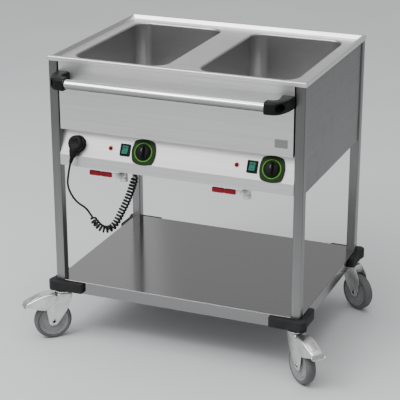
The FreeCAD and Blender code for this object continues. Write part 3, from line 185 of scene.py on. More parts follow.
# A round tube through points; radius is one number or one for each point.
def tube(shape, points, radius, steps):
    last = len(points) - 1
    side = (points[1] - points[0]).normalized().orthogonal().normalized()
    rings = []
    for spot, reach in enumerate(radius if isinstance(radius, list) else [radius] * len(points)):
        ahead = (points[min(spot + 1, last)] - points[max(spot - 1, 0)]).normalized()
        side = (side - ahead * side.dot(ahead)).normalized()
        rings.append(ringRound(points[spot], side, ahead.cross(side), steps, reach))
    joinRings(shape, rings)


# Points on a smooth line through the given ones, of any number of coordinates.
def smoothLine(points, steps=6):
    result = []
    last = len(points) - 1
    for spot in range(last):
        around = [points[max(spot - 1, 0)], points[spot], points[spot + 1], points[min(spot + 2, last)]]
        for part in range(steps):
            t = part / steps
            result.append(tuple(0.5 * (2 * q + (r - p) * t + (2 * p - 5 * q + 4 * r - s) * t * t
                                       + (3 * q - p - 3 * r + s) * t ** 3) for p, q, r, s in zip(*around)))
    return result + [tuple(points[-1])]


# A mesh in metres as one piece of the object, smooth where it turns gently.
def finishMesh(mesh, name, body, nodes=(), sharp=32):
    mesh.shade_smooth()
    mesh.set_sharp_from_angle(angle=math.radians(sharp))
    piece = addObject(name, mesh)
    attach(piece, body)
    if nodes:
        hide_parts(*nodes)
    return piece


# Writes the form as one piece, with a finish for each of its slots.
def finishShape(shape, name, finishes, body, nodes=(), sharp=32):
    bmesh.ops.remove_doubles(shape, verts=shape.verts, dist=1e-3)
    bmesh.ops.recalc_face_normals(shape, faces=shape.faces)
    bmesh.ops.scale(shape, vec=(toMetres,) * 3, verts=shape.verts)
    mesh = bpy.data.meshes.new(name)
    shape.to_mesh(mesh)
    shape.free()
    for finish in finishes:
        mesh.materials.append(materials[finish])
    return finishMesh(mesh, name, body, nodes, sharp)


def setSocket(tree, socket, value):
    if isinstance(value, bpy.types.NodeSocket):
        tree.links.new(value, socket)
    else:
        socket.default_value = value


# Adds a node with its settings and inputs, and gives back one of its outputs.
def addNode(tree, kind, inputs=None, out=0, **settings):
    spot = len(tree.nodes)
    made = tree.nodes.new(kind)
    made.location = (-220 * (spot % 8 + 1), -180 * (spot // 8))
    for setting, value in settings.items():
        setattr(made, setting, value)
    for socket, value in (inputs or {}).items():
        setSocket(tree, made.inputs[socket], value)
    return made.outputs[out] if len(made.outputs) else made


def toned(tone, share, lift=0.0):
    return [min(1, value * share + lift) for value in tone]


# A material under construction, with short calls for the nodes it uses.
class Surface:

    def __init__(self, name):
        self.material = bpy.data.materials.new(name)
        self.material.use_nodes = True
        self.tree = self.material.node_tree
        self.shader = self.tree.nodes["Principled BSDF"]
        self.place = self.node("TexCoord", out="Object")

    def node(self, kind, inputs=None, out=0, **settings):
        return addNode(self.tree, "ShaderNode" + kind, inputs, out, **settings)

    # Noise that may be stretched along the object's axes.
    def noise(self, scale, detail=3, rough=0.5, stretch=None):
        spots = self.place
        if stretch:
            spots = self.node("Mapping", {"Vector": spots, "Scale": stretch})
        return self.node("TexNoise", {"Vector": spots, "Scale": scale, "Detail": detail, "Roughness": rough})

    # Carries values between start and end over to the span from low to high.
    def spread(self, value, low, high, start, end):
        return self.node("MapRange", {"Value": value, "From Min": start, "From Max": end,
                                      "To Min": low, "To Max": high})

    def times(self, a, b):
        return self.node("Math", {0: a, 1: b}, operation="MULTIPLY")

    def plus(self, a, b):
        return self.node("Math", {0: a, 1: b}, operation="ADD")

    def mix(self, share, a, b):
        a, b = [tone if isinstance(tone, bpy.types.NodeSocket) else (*tone, 1) for tone in (a, b)]
        return self.node("Mix", {"Factor": share, 6: a, 7: b}, 2, data_type="RGBA")

    def bump(self, height, strength, distance, normal=None):
        inputs = {"Height": height, "Strength": strength, "Distance": distance}
        if normal is not None:
            inputs["Normal"] = normal
        return self.node("Bump", inputs)

    # Gives the edges a painted highlight in the given tone, and a normal that rounds them over.
    def paintedEdgeHighlight(self, shade, radius, share, tone):
        bevel = self.node("Bevel", {"Radius": radius}, samples=4)
        true = self.node("NewGeometry", out="Normal")
        dot = self.node("VectorMath", {0: bevel, 1: true}, "Value", operation="DOT_PRODUCT")
        return self.mix(self.times(self.spread(dot, 1, 0, 0.75, 0.995), share), shade, tone), bevel

    # How far a point lies in a seam or hollow: the mask for painted shade there.
    def hollow(self, reach):
        clear = self.node("AmbientOcclusion", {"Distance": reach}, "AO", samples=4)
        return self.spread(clear, 1, 0, 0.35, 0.85)

    def finish(self, colour, roughness, normal, **constants):
        given = {"Base_Color": colour, "Roughness": roughness, "Normal": normal, **constants}
        for socket, value in given.items():
            setSocket(self.tree, self.shader.inputs[socket.replace("_", " ")], value)
        return self.material


# Stainless sheet brushed along one axis, with faint smears and a painted highlight on its folds. Painted
# shade may darken the upper end and the underside.
def brushedSteel(name, grain, tone, rough, bend=0.0012, scratch=0.05, smears=1.0, upper=0.0, under=0.0):
    surface = Surface(name)
    fine = surface.noise(1, 2, stretch=[6 if axis == grain else 1400 for axis in "XYZ"])
    streak = surface.noise(1, 3, stretch=[1.5 if axis == grain else 160 for axis in "XYZ"])
    height = surface.node("SeparateXYZ", {0: surface.place}, "Z")
    facing = surface.node("NewGeometry", out="Normal")
    facing = surface.node("SeparateXYZ", {0: facing}, "Z")
    shade = surface.mix(surface.spread(streak, 0, 1, 0.35, 0.65), (tone * (1 - 0.07 * smears),) * 3,
                        (tone * (1 + 0.04 * smears),) * 3)
    # The first row is random smears; the other two are painted shade, darker towards the top and on downward
    # faces.
    for share, level in ((surface.spread(surface.noise(3, 2), 0, 0.3 * smears, 0.4, 0.7), 0.92),
                         (surface.spread(height, 0, upper, 0.25, 0.75), 0.4),
                         (surface.spread(facing, under, 0, -0.35, 0.35), 0.3)):
        shade = surface.mix(share, shade, (tone * level,) * 3)
    # painted highlight along the edges and folds
    shade, bevel = surface.paintedEdgeHighlight(shade, bend, 0.5, (min(0.93, tone * 1.8),) * 3)
    roughness = surface.plus(surface.spread(fine, rough - 0.04, rough + 0.05, 0.3, 0.7),
                             surface.spread(surface.noise(22, 5, 0.65), 0, 0.06 * smears, 0.5, 0.75))
    return surface.finish(shade, roughness, surface.bump(fine, scratch, 0.0002, bevel), Metallic=1.0)


# Bright plating: a faint spangle, small pits, broad dulled patches, a painted highlight along the edges and
# painted shade in the hollows.
def platedSteel(name, tone, rough):
    surface = Surface(name)
    spangle = surface.node("TexVoronoi", {"Vector": surface.place, "Scale": 120})
    dull = surface.noise(28)
    shade = surface.mix(surface.spread(dull, 0, 1, 0.38, 0.66), tone, toned(tone, 0.82))
    # painted highlight along the edges
    shade, bevel = surface.paintedEdgeHighlight(shade, 0.0009, 0.5, (0.95, 0.95, 0.94))
    # painted shade: seams and hollows darkened through ambient occlusion
    shade = surface.mix(surface.hollow(0.007), shade, (0.10, 0.10, 0.10))
    roughness = surface.plus(surface.spread(spangle, rough - 0.02, rough + 0.03, 0, 0.8),
                             surface.spread(dull, 0, 0.08, 0.4, 0.8))
    pits = surface.bump(surface.noise(420, 2), 0.03, 0.0003, bevel)
    return surface.finish(shade, roughness, pits, Metallic=1.0)


# Moulded plastic with a fine grain, a painted highlight along its edges and painted shade in its hollows.
def mouldedPlastic(name, tone, rough=0.42, grain=0.12, light=(0.08, 0.08, 0.085)):
    surface = Surface(name)
    patch = surface.noise(45, 4, 0.6)
    shade = surface.mix(surface.spread(patch, 0, 1, 0.3, 0.75), tone, toned(tone, 1.4, 0.002))
    # painted highlight along the edges
    shade, bevel = surface.paintedEdgeHighlight(shade, 0.0007, 0.35, light)
    # painted shade: seams and hollows darkened through ambient occlusion
    shade = surface.mix(surface.hollow(0.004), shade, toned(tone, 0.3))
    return surface.finish(shade, surface.spread(patch, rough - 0.06, rough + 0.1, 0.3, 0.7),
                          surface.bump(surface.noise(2600, 2), grain, 0.0003, bevel), Specular_IOR_Level=0.12)


# Rubber with a chalky bloom, fine scuffs and a painted highlight along its edges.
def wornRubber(name, tone, rough=0.62):
    surface = Surface(name)
    bloom = surface.noise(30, 5, 0.65)
    scuff = surface.noise(1, 4, stretch=(40, 40, 600))
    shade = surface.mix(surface.spread(bloom, 0, 1, 0.35, 0.75), tone, toned(tone, 1.35, 0.008))
    # painted highlight along the edges
    shade, bevel = surface.paintedEdgeHighlight(shade, 0.0012, 0.25, toned(tone, 2, 0.05))
    height = surface.plus(surface.noise(1500, 3), surface.times(scuff, 0.6))
    return surface.finish(shade, surface.spread(bloom, rough - 0.08, rough + 0.12, 0.3, 0.7),
                          surface.bump(height, 0.2, 0.0004, bevel), Specular_IOR_Level=0.22)


# Coloured see-through plastic with depth to its colour, small moulding marks and a painted highlight along
# its edges.
# Its colour also glows by the given strength; on the green rocker, which is no lamp, that glow is painted
# light.
def clearPlastic(name, tone, deep, glow):
    surface = Surface(name)
    patch = surface.noise(140)
    shade = surface.mix(surface.spread(patch, 0, 0.6, 0.35, 0.7), tone, deep)
    # painted highlight along the edges
    shade, bevel = surface.paintedEdgeHighlight(shade, 0.0008, 0.5, toned(tone, 1.6, 0.02))
    return surface.finish(shade, surface.spread(patch, 0.3, 0.45, 0.3, 0.7),
                          surface.bump(surface.noise(900, 2), 0.05, 0.0003, bevel),
                          Emission_Color=shade, Emission_Strength=glow, Coat_Weight=0.04,
                          Coat_Roughness=0.2, Specular_IOR_Level=0.1)


# Steel: grain, tone, roughness, width of a fold, scratches, smears. Others: tone, roughness, grain, painted
# edge highlight.
materials = {
    "panel": brushedSteel("panelSteel", "X", 0.62, 0.38),
    # The side panels are the panel's steel with a far darker tone: painted shade.
    "sidePanel": brushedSteel("shadedSidePanelSteel", "Y", 0.18, 0.36),
    "deck": brushedSteel("deckSteel", "X", 0.72, 0.34, 0.002),
    "well": brushedSteel("wellSteel", "X", 0.44, 0.33, 0.003, 0.02, 0.3),
    "shelf": brushedSteel("shelfSteel", "X", 0.26, 0.15, 0.0015, 0.01, 0.3),
    # The legs get painted shade towards their tops, and the bar gets it on its underside.
    "leg": brushedSteel("legSteel", "Z", 0.26, 0.30, 0.0015, upper=0.7),
    "bar": brushedSteel("barSteel", "X", 0.66, 0.11, 0.0005, 0.02, 0.3, under=0.95),
    "blank": brushedSteel("blankPlateSteel", "X", 0.26, 0.3, 0.0006, 0.03, 0.5),
    "hidden": brushedSteel("hiddenSteel", "X", 0.5, 0.42),
    "zinc": platedSteel("zincPlate", (0.80, 0.80, 0.79), 0.28),
    "nickel": platedSteel("nickelPlate", (0.86, 0.85, 0.83), 0.5),
    "black": mouldedPlastic("blackPlastic", (0.005, 0.005, 0.0055)),
    "blackSoft": mouldedPlastic("blackSoftPlastic", (0.007, 0.007, 0.0075), 0.5, 0.2),
    "grip": mouldedPlastic("redSleeve", (0.26, 0.012, 0.022), 0.34, 0.25, (0.6, 0.12, 0.12)),
    # The rocker's faint glow is painted light.
    "green": clearPlastic("greenRocker", (0.006, 0.13, 0.09), (0.003, 0.07, 0.05), 0.06),
    "ring": mouldedPlastic("greenRing", (0.075, 0.26, 0.026), 0.4, 0.1, (0.2, 0.5, 0.1)),
    "dialFace": mouldedPlastic("greenBlackDial", (0.011, 0.024, 0.007), light=(0.06, 0.12, 0.04)),
    "mark": mouldedPlastic("paleMark", (0.20, 0.18, 0.22), 0.5, 0.1, (0.3, 0.28, 0.32)),
    "lens": clearPlastic("redLens", (0.14, 0.006, 0.008), (0.05, 0.002, 0.003), 0.03),
    "collar": mouldedPlastic("pinkCollar", (0.72, 0.30, 0.27), 0.4, 0.05, (0.8, 0.5, 0.48)),
    "bumper": wornRubber("bumperRubber", (0.011, 0.011, 0.012)),
    "cord": wornRubber("cordRubber", (0.008, 0.008, 0.009), 0.5),
    "tread": wornRubber("greyTread", (0.10, 0.10, 0.103)),
    "wheelFace": mouldedPlastic("greyWheelFace", (0.20, 0.20, 0.205), 0.5, 0.2, (0.3, 0.3, 0.31)),
}

# The carried-over nodes that take each finish, by how their names start.
finishes = {
    "panel": ("front_panel", "control_fascia", "rear_panel"), "sidePanel": ("side_panel",),
    "blank": ("blank_plate",), "deck": ("top_deck",), "well": ("well",), "shelf": ("shelf",),
    "leg": ("leg",), "bar": ("handle_bar",), "zinc": ("caster",), "grip": ("lever_grip",),
    "nickel": ("handle_screws", "drain_valve", "valve_lever"), "green": ("rocker",), "lens": ("pilot_lamps",),
    "black": ("park_socket", "switch_frame", "plug", "cord_gland", "dial_plate", "knob", "handle_bracket"),
    "hidden": ("bottom_plate", "heaters", "thermostats", "terminal_block"),
    "bumper": ("corner_bumpers", "cord_straight", "cord_curly"),
}


def dressFrame():
    for finish, starts in finishes.items():
        for name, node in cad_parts.items():
            if name.startswith(starts):
                for slot in node.material_slots:
                    slot.material = materials[finish]


def placeCamera():
    facts = {
        "place": (1.6042, -4.0119, 2.0489), "pitch": -20.53, "yaw": 22.27, "roll": -0.07, "lens": 125.87,
        "sensor": 36}
    camera = bpy.data.cameras.new("camera")
    camera.lens, camera.sensor_width = facts["lens"], facts["sensor"]
    holder = addObject("camera", camera)
    holder.location = facts["place"]
    turn = turned(facts["yaw"], "Z") @ turned(90 + facts["pitch"], "X") @ turned(facts["roll"], "Z")
    holder.rotation_euler = turn.to_euler()
    bpy.context.scene.camera = holder


# Soft lamps over the front and the left; each has its place, its target, its size and its watts.
def addLights():
    lamps = {"keyLight": ((-1.9, -2.3, 3.5), (0, 0, 0.5), (2.2, 2.2), 100),
             "topLight": ((0.2, -0.3, 4.0), (0, 0, 0.5), (2.6, 2.2), 60),
             "barLight": ((0.2, -2.4, 3.2), (0, -0.38, 0.9), (3.2, 0.5), 26),
             "backLight": ((-2.1, 2.2, 1.5), (-0.2, 0, 0.9), (1.8, 1.1), 2.0)}
    for name, (place, target, size, power) in lamps.items():
        lamp = bpy.data.lights.new(name, "AREA")
        lamp.shape = "RECTANGLE"
        lamp.size, lamp.size_y = size
        lamp.energy = power
        holder = addObject(name, lamp)
        holder.location = place
        holder.rotation_euler = (Vector(target) - Vector(place)).to_track_quat("-Z", "Y").to_euler()


# A soft studio whose walls differ in brightness. Each glow lights one way, between two cosines.
def buildWorld():
    facts = {
        "base": 0.26, "front": ((-0.35, -0.8, 0.5), 0.45, 0.97, 0.85), "top": ((0, -0.1, 1), 0.35, 0.95, 0.6),
        "backLeft": ((-0.4, 0.85, 0.35), 0.5, 0.98, 0.3)}
    world = bpy.data.worlds.new("studio")
    bpy.context.scene.world = world
    world.use_nodes = True
    tree = world.node_tree
    tree.nodes.clear()
    ray = addNode(tree, "ShaderNodeTexCoord", out="Generated")
    total = facts["base"]
    for name in ("front", "top", "backLeft"):
        way, start, end, strength = facts[name]
        facing = addNode(tree, "ShaderNodeVectorMath", {0: ray, 1: Vector(way).normalized()}, "Value",
                         operation="DOT_PRODUCT")
        glow = addNode(tree, "ShaderNodeMapRange", {"Value": facing, "From Min": start, "From Max": end,
                                                    "To Min": 0, "To Max": strength},
                       interpolation_type="SMOOTHSTEP")
        total = addNode(tree, "ShaderNodeMath", {0: total, 1: glow}, operation="ADD")
    lit = addNode(tree, "ShaderNodeBackground", {"Color": (1, 1, 1, 1), "Strength": total})
    addNode(tree, "ShaderNodeOutputWorld", {"Surface": lit})


def buildStage():
    facts = {"reach": 30, "tones": ((0.58, 0.59, 0.60), (0.61, 0.62, 0.63)), "rough": 0.7}
    surface = Surface("studioFloor")
    shade = surface.mix(surface.spread(surface.noise(1.5, 4), 0, 1, 0.3, 0.7), *facts["tones"])
    mesh = bpy.data.meshes.new("floor")
    reach = facts["reach"]
    mesh.from_pydata([(x, y, 0) for x, y in rectangle(-reach, -reach, reach, reach)], [], [(0, 1, 2, 3)])
    bump = surface.bump(surface.noise(300), 0.02, 0.0005)
    mesh.materials.append(surface.finish(shade, facts["rough"], bump, Specular_IOR_Level=0.2))
    addObject("floor", mesh)


def newTree(name, inputs):
    tree = bpy.data.node_groups.new(name, "GeometryNodeTree")
    inputs = {"Geometry": ("Geometry", None), **inputs, "Material": ("Material", None)}
    for label, (kind, value) in inputs.items():
        socket = tree.interface.new_socket(name=label, in_out="INPUT", socket_type="NodeSocket" + kind)
        if value is not None:
            socket.default_value = value
    tree.interface.new_socket(name="Geometry", in_out="OUTPUT", socket_type="NodeSocketGeometry")
    return tree, tree.nodes.new("NodeGroupInput").outputs


# Ends a tree: the form on each point, made real and given its material.
def endTree(tree, given, points, form, **ways):
    placed = addNode(tree, "GeometryNodeInstanceOnPoints", {"Points": points, "Instance": form, **ways})
    real = addNode(tree, "GeometryNodeRealizeInstances", {"Geometry": placed})
    dressed = addNode(tree, "GeometryNodeSetMaterial", {"Geometry": real, "Material": given["Material"]})
    addNode(tree, "NodeGroupOutput", {0: dressed})
    return tree


# Small blocks round a circle, each facing outwards: flutes and ticks.
def buildRibTree():
    tree, given = newTree("ribsRound", {"Count": ("Int", 24), "Radius": ("Float", 20.0),
                                        "Rib Size": ("Vector", (1.0, 1.0, 1.0))})
    circle = addNode(tree, "GeometryNodeMeshCircle", {"Vertices": given["Count"], "Radius": given["Radius"]})
    rib = addNode(tree, "GeometryNodeMeshCube", {"Size": given["Rib Size"]})
    place = addNode(tree, "GeometryNodeInputPosition")
    turn = addNode(tree, "FunctionNodeAlignRotationToVector", {"Vector": place}, axis="X")
    return endTree(tree, given, circle, rib, Rotation=turn)


# The balls of a race, standing in a circle.
def buildBallTree():
    tree, given = newTree("ballsRound", {"Count": ("Int", 20), "Radius": ("Float", 20.0),
                                         "Ball Radius": ("Float", 2.0)})
    circle = addNode(tree, "GeometryNodeMeshCircle", {"Vertices": given["Count"], "Radius": given["Radius"]})
    ball = addNode(tree, "GeometryNodeMeshUVSphere",
                   {"Segments": 16, "Rings": 8, "Radius": given["Ball Radius"]})
    return endTree(tree, given, circle, ball)


# Round rings strung on points, each as wide as its own reach: the ribs of a strain relief.
def buildRingTree():
    tree, given = newTree("ringsOnPoints", {"Thickness": ("Float", 0.1)})
    line = addNode(tree, "GeometryNodeCurvePrimitiveCircle", {"Resolution": 32, "Radius": 1.0})
    section = addNode(tree, "GeometryNodeCurvePrimitiveCircle",
                      {"Resolution": 8, "Radius": given["Thickness"]})
    ring = addNode(tree, "GeometryNodeCurveToMesh", {"Curve": line, "Profile Curve": section})
    facing, reach = [addNode(tree, "GeometryNodeInputNamedAttribute", {"Name": name},
                             data_type="FLOAT_VECTOR") for name in ("facing", "reach")]
    turn = addNode(tree, "FunctionNodeAlignRotationToVector", {"Vector": facing}, axis="Z")
    return endTree(tree, given, given["Geometry"], ring, Rotation=turn, Scale=reach)


ribTree, ballTree, ringTree = buildRibTree(), buildBallTree(), buildRingTree()


# What an object's modifiers make of it, as a plain mesh.
def evaluated(holder):
    bpy.context.view_layer.update()
    return bpy.data.meshes.new_from_object(holder.evaluated_get(bpy.context.evaluated_depsgraph_get()))


# The result of a node tree as one piece, with its place in its points.
def growPiece(name, tree, values, finish, body, place=Matrix(), base=None):
    holder = addObject("growing", base or bpy.data.meshes.new("growing"))
    modifier = holder.modifiers.new("growing", "NODES")
    modifier.node_group = tree
    values["Material"] = materials[finish]
    for socket in tree.interface.items_tree:
        if socket.in_out == "INPUT" and socket.name in values:
            modifier[socket.identifier] = values[socket.name]
    mesh = evaluated(holder)
    mesh.name = name
    holder.modifiers.remove(modifier)
    bpy.data.objects.remove(holder)
    mesh.transform(place)
    mesh.transform(Matrix.Scale(toMetres, 4))
    finishMesh(mesh, name, body)


# A mesh of bare points; each carries the way it faces and its reach.
def pointMesh(points, facing, reach):
    mesh = bpy.data.meshes.new("points")
    mesh.from_pydata([tuple(point) for point in points], [], [])
    for name, rows in (("facing", facing), ("reach", [(size,) * 3 for size in reach])):
        carried = mesh.attributes.new(name, "FLOAT_VECTOR", "POINT")
        carried.data.foreach_set("vector", [value for row in rows for value in row])
    return mesh


# One shape less another.
def carve(shape, cutter):
    made = []
    for form in (shape, cutter):
        bmesh.ops.recalc_face_normals(form, faces=form.faces)
        mesh = bpy.data.meshes.new("carve")
        form.to_mesh(mesh)
        form.free()
        made.append(addObject("carve", mesh))
    modifier = made[0].modifiers.new("carve", "BOOLEAN")
    modifier.operation, modifier.solver, modifier.object = "DIFFERENCE", "EXACT", made[1]
    carved = bmesh.new()
    carved.from_mesh(evaluated(made[0]))
    for holder in made:
        bpy.data.objects.remove(holder)
    return carved


# The cord's route, measured from under the plug where the body's front face and underside meet.
cordFacts = {
    "start": (-331, -310, 605), "radius": 3.3, "curlRadius": 9.6, "pitch": 10.9, "opening": 3, "perTurn": 16,
    "straight": [(-6.4, -17.8, 34.4), (-9.5, -26.6, 14.4), (-17, -26, -22), (-26, -18, -56), (-21, -9, -90),
                 (-3, 0, -122), (26.9, 5.7, -138.5), (32.5, 11, -153)],
    "curls": [(32.5, 11, -153), (41, 19, -175), (49.5, 28, -198), (65, 40.5, -219), (88, 55.5, -219),
              (102.5, 68, -197), (113.5, 78, -168.4), (133.2, 87, -124.6), (147, 94, -81), (158, 97, -42),
              (159, 97, -31), (159, 97, -20)],
}


# The smooth line through a stretch's control points, read back from its own spline.
def routeLine(stretch, resolution=16):
    curve = bpy.data.curves.new("route", "CURVE")
    curve.dimensions = "3D"
    spline = curve.splines.new("NURBS")
    points = cordFacts[stretch]
    spline.points.add(len(points) - 1)
    for held, point in zip(spline.points, points):
        held.co = (*(Vector(cordFacts["start"]) + Vector(point)), 1)
    spline.order_u = 3
    spline.use_endpoint_u = True
    spline.resolution_u = resolution
    holder = addObject("route", curve)
    bpy.context.view_layer.update()
    line = [vertex.co.copy() for vertex in bpy.data.meshes.new_from_object(holder).vertices]
    bpy.data.objects.remove(holder)
    return line


def lineLength(line):
    return sum((b - a).length for a, b in zip(line, line[1:]))


# The point and the direction a distance along a line.
def alongLine(line, marks, distance):
    spot = 0
    while spot < len(marks) - 2 and marks[spot + 1] < distance:
        spot += 1
    share = (distance - marks[spot]) / (marks[spot + 1] - marks[spot])
    before = (line[spot + 1] - line[max(spot - 1, 0)]).normalized()
    after = (line[min(spot + 2, len(line) - 1)] - line[spot]).normalized()
    return line[spot].lerp(line[spot + 1], share), before.lerp(after, share).normalized()


# The wound stretch: it leaves the middle line and joins it again as its turns open and close.
def curlPath():
    line = routeLine("curls", 24)
    marks = [0]
    for a, b in zip(line, line[1:]):
        marks.append(marks[-1] + (b - a).length)
    length, lead = marks[-1], 2 * cordFacts["radius"]
    turns = round((length - 2 * lead) / cordFacts["pitch"])
    count = turns * cordFacts["perTurn"]
    side = (line[1] - line[0]).cross(Vector((0, 1, 0))).normalized()
    angle, path = 0, [line[0]]
    for spot in range(count + 1):
        part = spot / count
        here, ahead = alongLine(line, marks, lead + part * (length - 2 * lead))
        side = (side - ahead * side.dot(ahead)).normalized()
        ramp = min(1, part * turns / cordFacts["opening"], (1 - part) * turns / cordFacts["opening"])
        share = ramp * ramp * (3 - 2 * ramp)
        angle += 2 * math.pi * share / cordFacts["perTurn"]
        spoke = side * math.cos(angle) + ahead.cross(side) * math.sin(angle)
        path.append(here + spoke * cordFacts["curlRadius"] * share)
    return path + [line[-1]]


def makeCord(plug, relief):
    path = (routeLine("straight")[:-1] + curlPath())[::-1]
    shape = bmesh.new()
    tube(shape, path, cordFacts["radius"], 12)
    piece = finishShape(shape, "cord", ["cord"], "frame", ["cord_straight", "cord_curly"], 60)
    print("cord", round(lineLength(path)), "mm")


# The screwed gland under the body and the ribbed sleeve that the cord leaves by.
def makeGland():
    facts = {
        "place": (-172, -213, 585), "skirt": [(7.6, 0), (10, 1), (10.6, 2), (10.6, 11), (9.8, 12)],
        "nuts": [(12.5, 1.2, 12, 20, 0.7), (11.25, 1, 21.6, 26.5, 0.5)], "neck": [(6.6, 20), (6.6, 29.5)],
        "sleeve": [(6.4, 2), (6.4, -2), (4.3, -23), (4.1, -24), (3, -24)], "ribs": 6,
        "ribReach": (6.4, 4.284), "ribDrop": 22.08, "ribThick": 0.13}
    place = moved(*facts["place"])
    shape = bmesh.new()
    lathe(shape, facts["skirt"], place, 40)
    lathe(shape, facts["neck"], place, 32)
    for nut in facts["nuts"]:
        hexNut(shape, *nut, place)
    finishShape(shape, "cordGland", ["black"], "frame", ["cord_gland"])
    shape = bmesh.new()
    lathe(shape, facts["sleeve"], place, 28)
    relief = finishShape(shape, "cordRelief", ["cord"], "frame")
    parts = [(spot + 0.7) / facts["ribs"] for spot in range(facts["ribs"])]
    wide, narrow = facts["ribReach"]
    base = pointMesh([(0, 0, -facts["ribDrop"] * part) for part in parts], [(0, 0, 1)] * len(parts),
                     [wide + (narrow - wide) * part for part in parts])
    growPiece("cordReliefRibs", ringTree, {"Thickness": facts["ribThick"]}, "cord", "frame",
              place, base)
    return relief


# A moulded plug with a dished back, a tail that leans to the left and a ribbed sleeve on the cord.
# The tail's rows hold reach, half width and half depth.
def makePlug():
    facts = {
        "head": [(0, -10), (17.5, -10), (18, -9.4), (18, 3.3), (24, 3.3), (25.5, 4.8), (25.5, 7.8),
            (24.6, 8.5), (24.6, 9.5), (25.5, 10.3), (25.5, 19.9), (24.7, 22.3), (22.9, 25.1), (20, 26.8),
            (16.5, 27.3), (13.5, 26.8), (9.5, 25.5), (0, 24.9)],
        "tail": [(6, 16, 10.5), (14, 16.6, 11.5), (22, 16.4, 12), (28, 15.2, 11.8), (34, 12.8, 11),
            (40, 10.4, 9.8), (45, 8.6, 8.6), (46, 7.8, 7.8)],
        "lean": math.radians(8), "out": 16, "pin": [(0, -30), (1.6, -30), (2.4, -29), (2.4, -9)],
        "pinShift": 9.5, "sleeve": 6.6, "ribs": 6.8, "taper": 0.26, "ribThick": 0.12}
    place = facePlace("plug")
    shape = bmesh.new()
    lathe(shape, facts["head"], place, 72)
    wide = Vector((math.cos(facts["lean"]), -math.sin(facts["lean"]), 0))
    down, out = Vector((-math.sin(facts["lean"]), -math.cos(facts["lean"]), 0)), Vector((0, 0, 1))
    joinRings(shape, [ringRound(down * reach + out * facts["out"], wide * across, out * deep, 32)
                      for reach, across, deep in smoothLine(facts["tail"], 3)], place)
    for side in (-1, 1):
        lathe(shape, facts["pin"], place @ moved(facts["pinShift"] * side), 20)
    plug = finishShape(shape, "plugBody", ["black"], "frame", ["plug"])
    line = routeLine("straight")[:9]
    shape = bmesh.new()
    tube(shape, line, [facts["sleeve"] - facts["taper"] * spot for spot in range(9)], 24)
    finishShape(shape, "plugSleeve", ["black"], "frame")
    spots = range(1, 8)
    base = pointMesh([line[spot] for spot in spots], [line[spot + 1] - line[spot - 1] for spot in spots],
                     [facts["ribs"] - facts["taper"] * spot for spot in spots])
    growPiece("plugRibs", ringTree, {"Thickness": facts["ribThick"]}, "black", "frame",
              base=base)
    return plug


# The socket that the plug is parked in: a flange with a rolled rim and a deep cup.
def makeParkSocket():
    facts = {
        "profile": [(18.8, -9.2), (18.8, 1.6), (19.6, 2.6), (21.5, 3), (26.2, 3), (27.5, 2.4), (28, 1.2),
            (28, 0), (22.8, 0), (22.8, -24), (0, -24), (0, -10.5), (18.2, -10.5)]}
    shape = bmesh.new()
    lathe(shape, facts["profile"], facePlace("plug"))
    finishShape(shape, "parkSocket", ["blackSoft"], "frame", ["park_socket"])


# An elbow from the end of the bar back to its foot on the body, with a deep screw recess.
# The line's rows hold outer x, outer y, inner y, half the height and inner x.
def makeBracket(name, side):
    facts = {
        "barEnd": 322, "height": 893.5, "corner": 8, "screw": (369, 1.5),
        "line": [(0, -403, -367, 17.6, 0), (0.8, -404, -366, 19, 0.8), (14, -404, -366, 19, 9),
            (27, -403, -365, 19, 16), (40, -396.5, -361, 19, 21), (50, -384, -356, 19, 24),
            (57.5, -368, -349, 19, 25.5), (62.5, -350, -341, 19, 25.5), (65.2, -331, -332, 19, 24),
            (66, -318, -321, 19, 22.5), (66, -310, -310, 19, 22)],
        "recess": [(0, -337), (7.7, -337), (7.7, -372), (8.6, -375), (12.4, -384), (14, -392), (14, -420),
            (0, -420)]}
    rings = []
    for outerX, outerY, innerY, half, innerX in smoothLine(facts["line"], 4):
        outer, inner = Vector((outerX, outerY)), Vector((innerX, innerY))
        wide, middle, way = (outer - inner).length / 2, (outer + inner) / 2, (outer - inner).normalized()
        rings.append([(side * (facts["barEnd"] + middle.x + way.x * across), middle.y + way.y * across,
                       facts["height"] + up)
                      for across, up in roundedBox(wide, half, min(facts["corner"], wide * 0.8))])
    shape, cutter = bmesh.new(), bmesh.new()
    joinRings(shape, rings)
    along, up = facts["screw"]
    lathe(cutter, facts["recess"], moved(side * along, 0, facts["height"] + up) @ turned(-90, "X"), 40)
    finishShape(carve(shape, cutter), "handleBracket_" + name, ["black"], "frame", ["handle_bracket_" + name],
                38)


# A dial plate with straight sides and arched ends, and the green ring pressed into it.
def makeDial(name, side):
    facts = {
        "wide": 40, "tall": 41, "side": 30, "arch": 78, "thick": 5, "corner": 5, "edge": 1.4,
        "inside": [(25.6, 4), (25.6, 5.9), (26.6, 6.3), (26.7, 4), (26.7, 3)],
        "ring": [(26.8, 4.5), (26.8, 5.8), (27.4, 6.3), (29.5, 6.3), (30.3, 5.5), (30.3, 4.5)],
        "outside": [(30.4, 4.5), (30.4, 6), (31.1, 5.8), (31.9, 4.9)],
        "ticks": {"Count": 31, "Radius": 28.95, "Rib Size": (2.4, 0.5, 0.5)}, "tickHeight": 6.25}
    place = facePlace("dial", side)
    outline = []
    reach = math.asin(facts["side"] / facts["arch"])
    for quarter in range(4):
        bulge = facts["tall" if quarter % 2 else "wide"] - facts["arch"]
        for step in range(9):
            turn = -reach + 2 * reach * step / 8
            out, along = bulge + facts["arch"] * math.cos(turn), facts["arch"] * math.sin(turn)
            for _ in range(quarter):
                out, along = -along, out
            outline.append((out, along))
    shape = bmesh.new()
    plate(shape, roundedOutline(outline, facts["corner"], 4), 0, facts["thick"], place, facts["edge"], 0, 4)
    for part, slot in (("inside", 0), ("ring", 1), ("outside", 0)):
        lathe(shape, facts[part], place, 72, slot)
    finishShape(shape, "dialPlate_" + name, ["dialFace", "ring"], "frame", ["dial_plate_" + name])
    growPiece("dialTicks_" + name, ribTree, facts["ticks"], "black", "frame",
              place @ moved(z=facts["tickHeight"]))


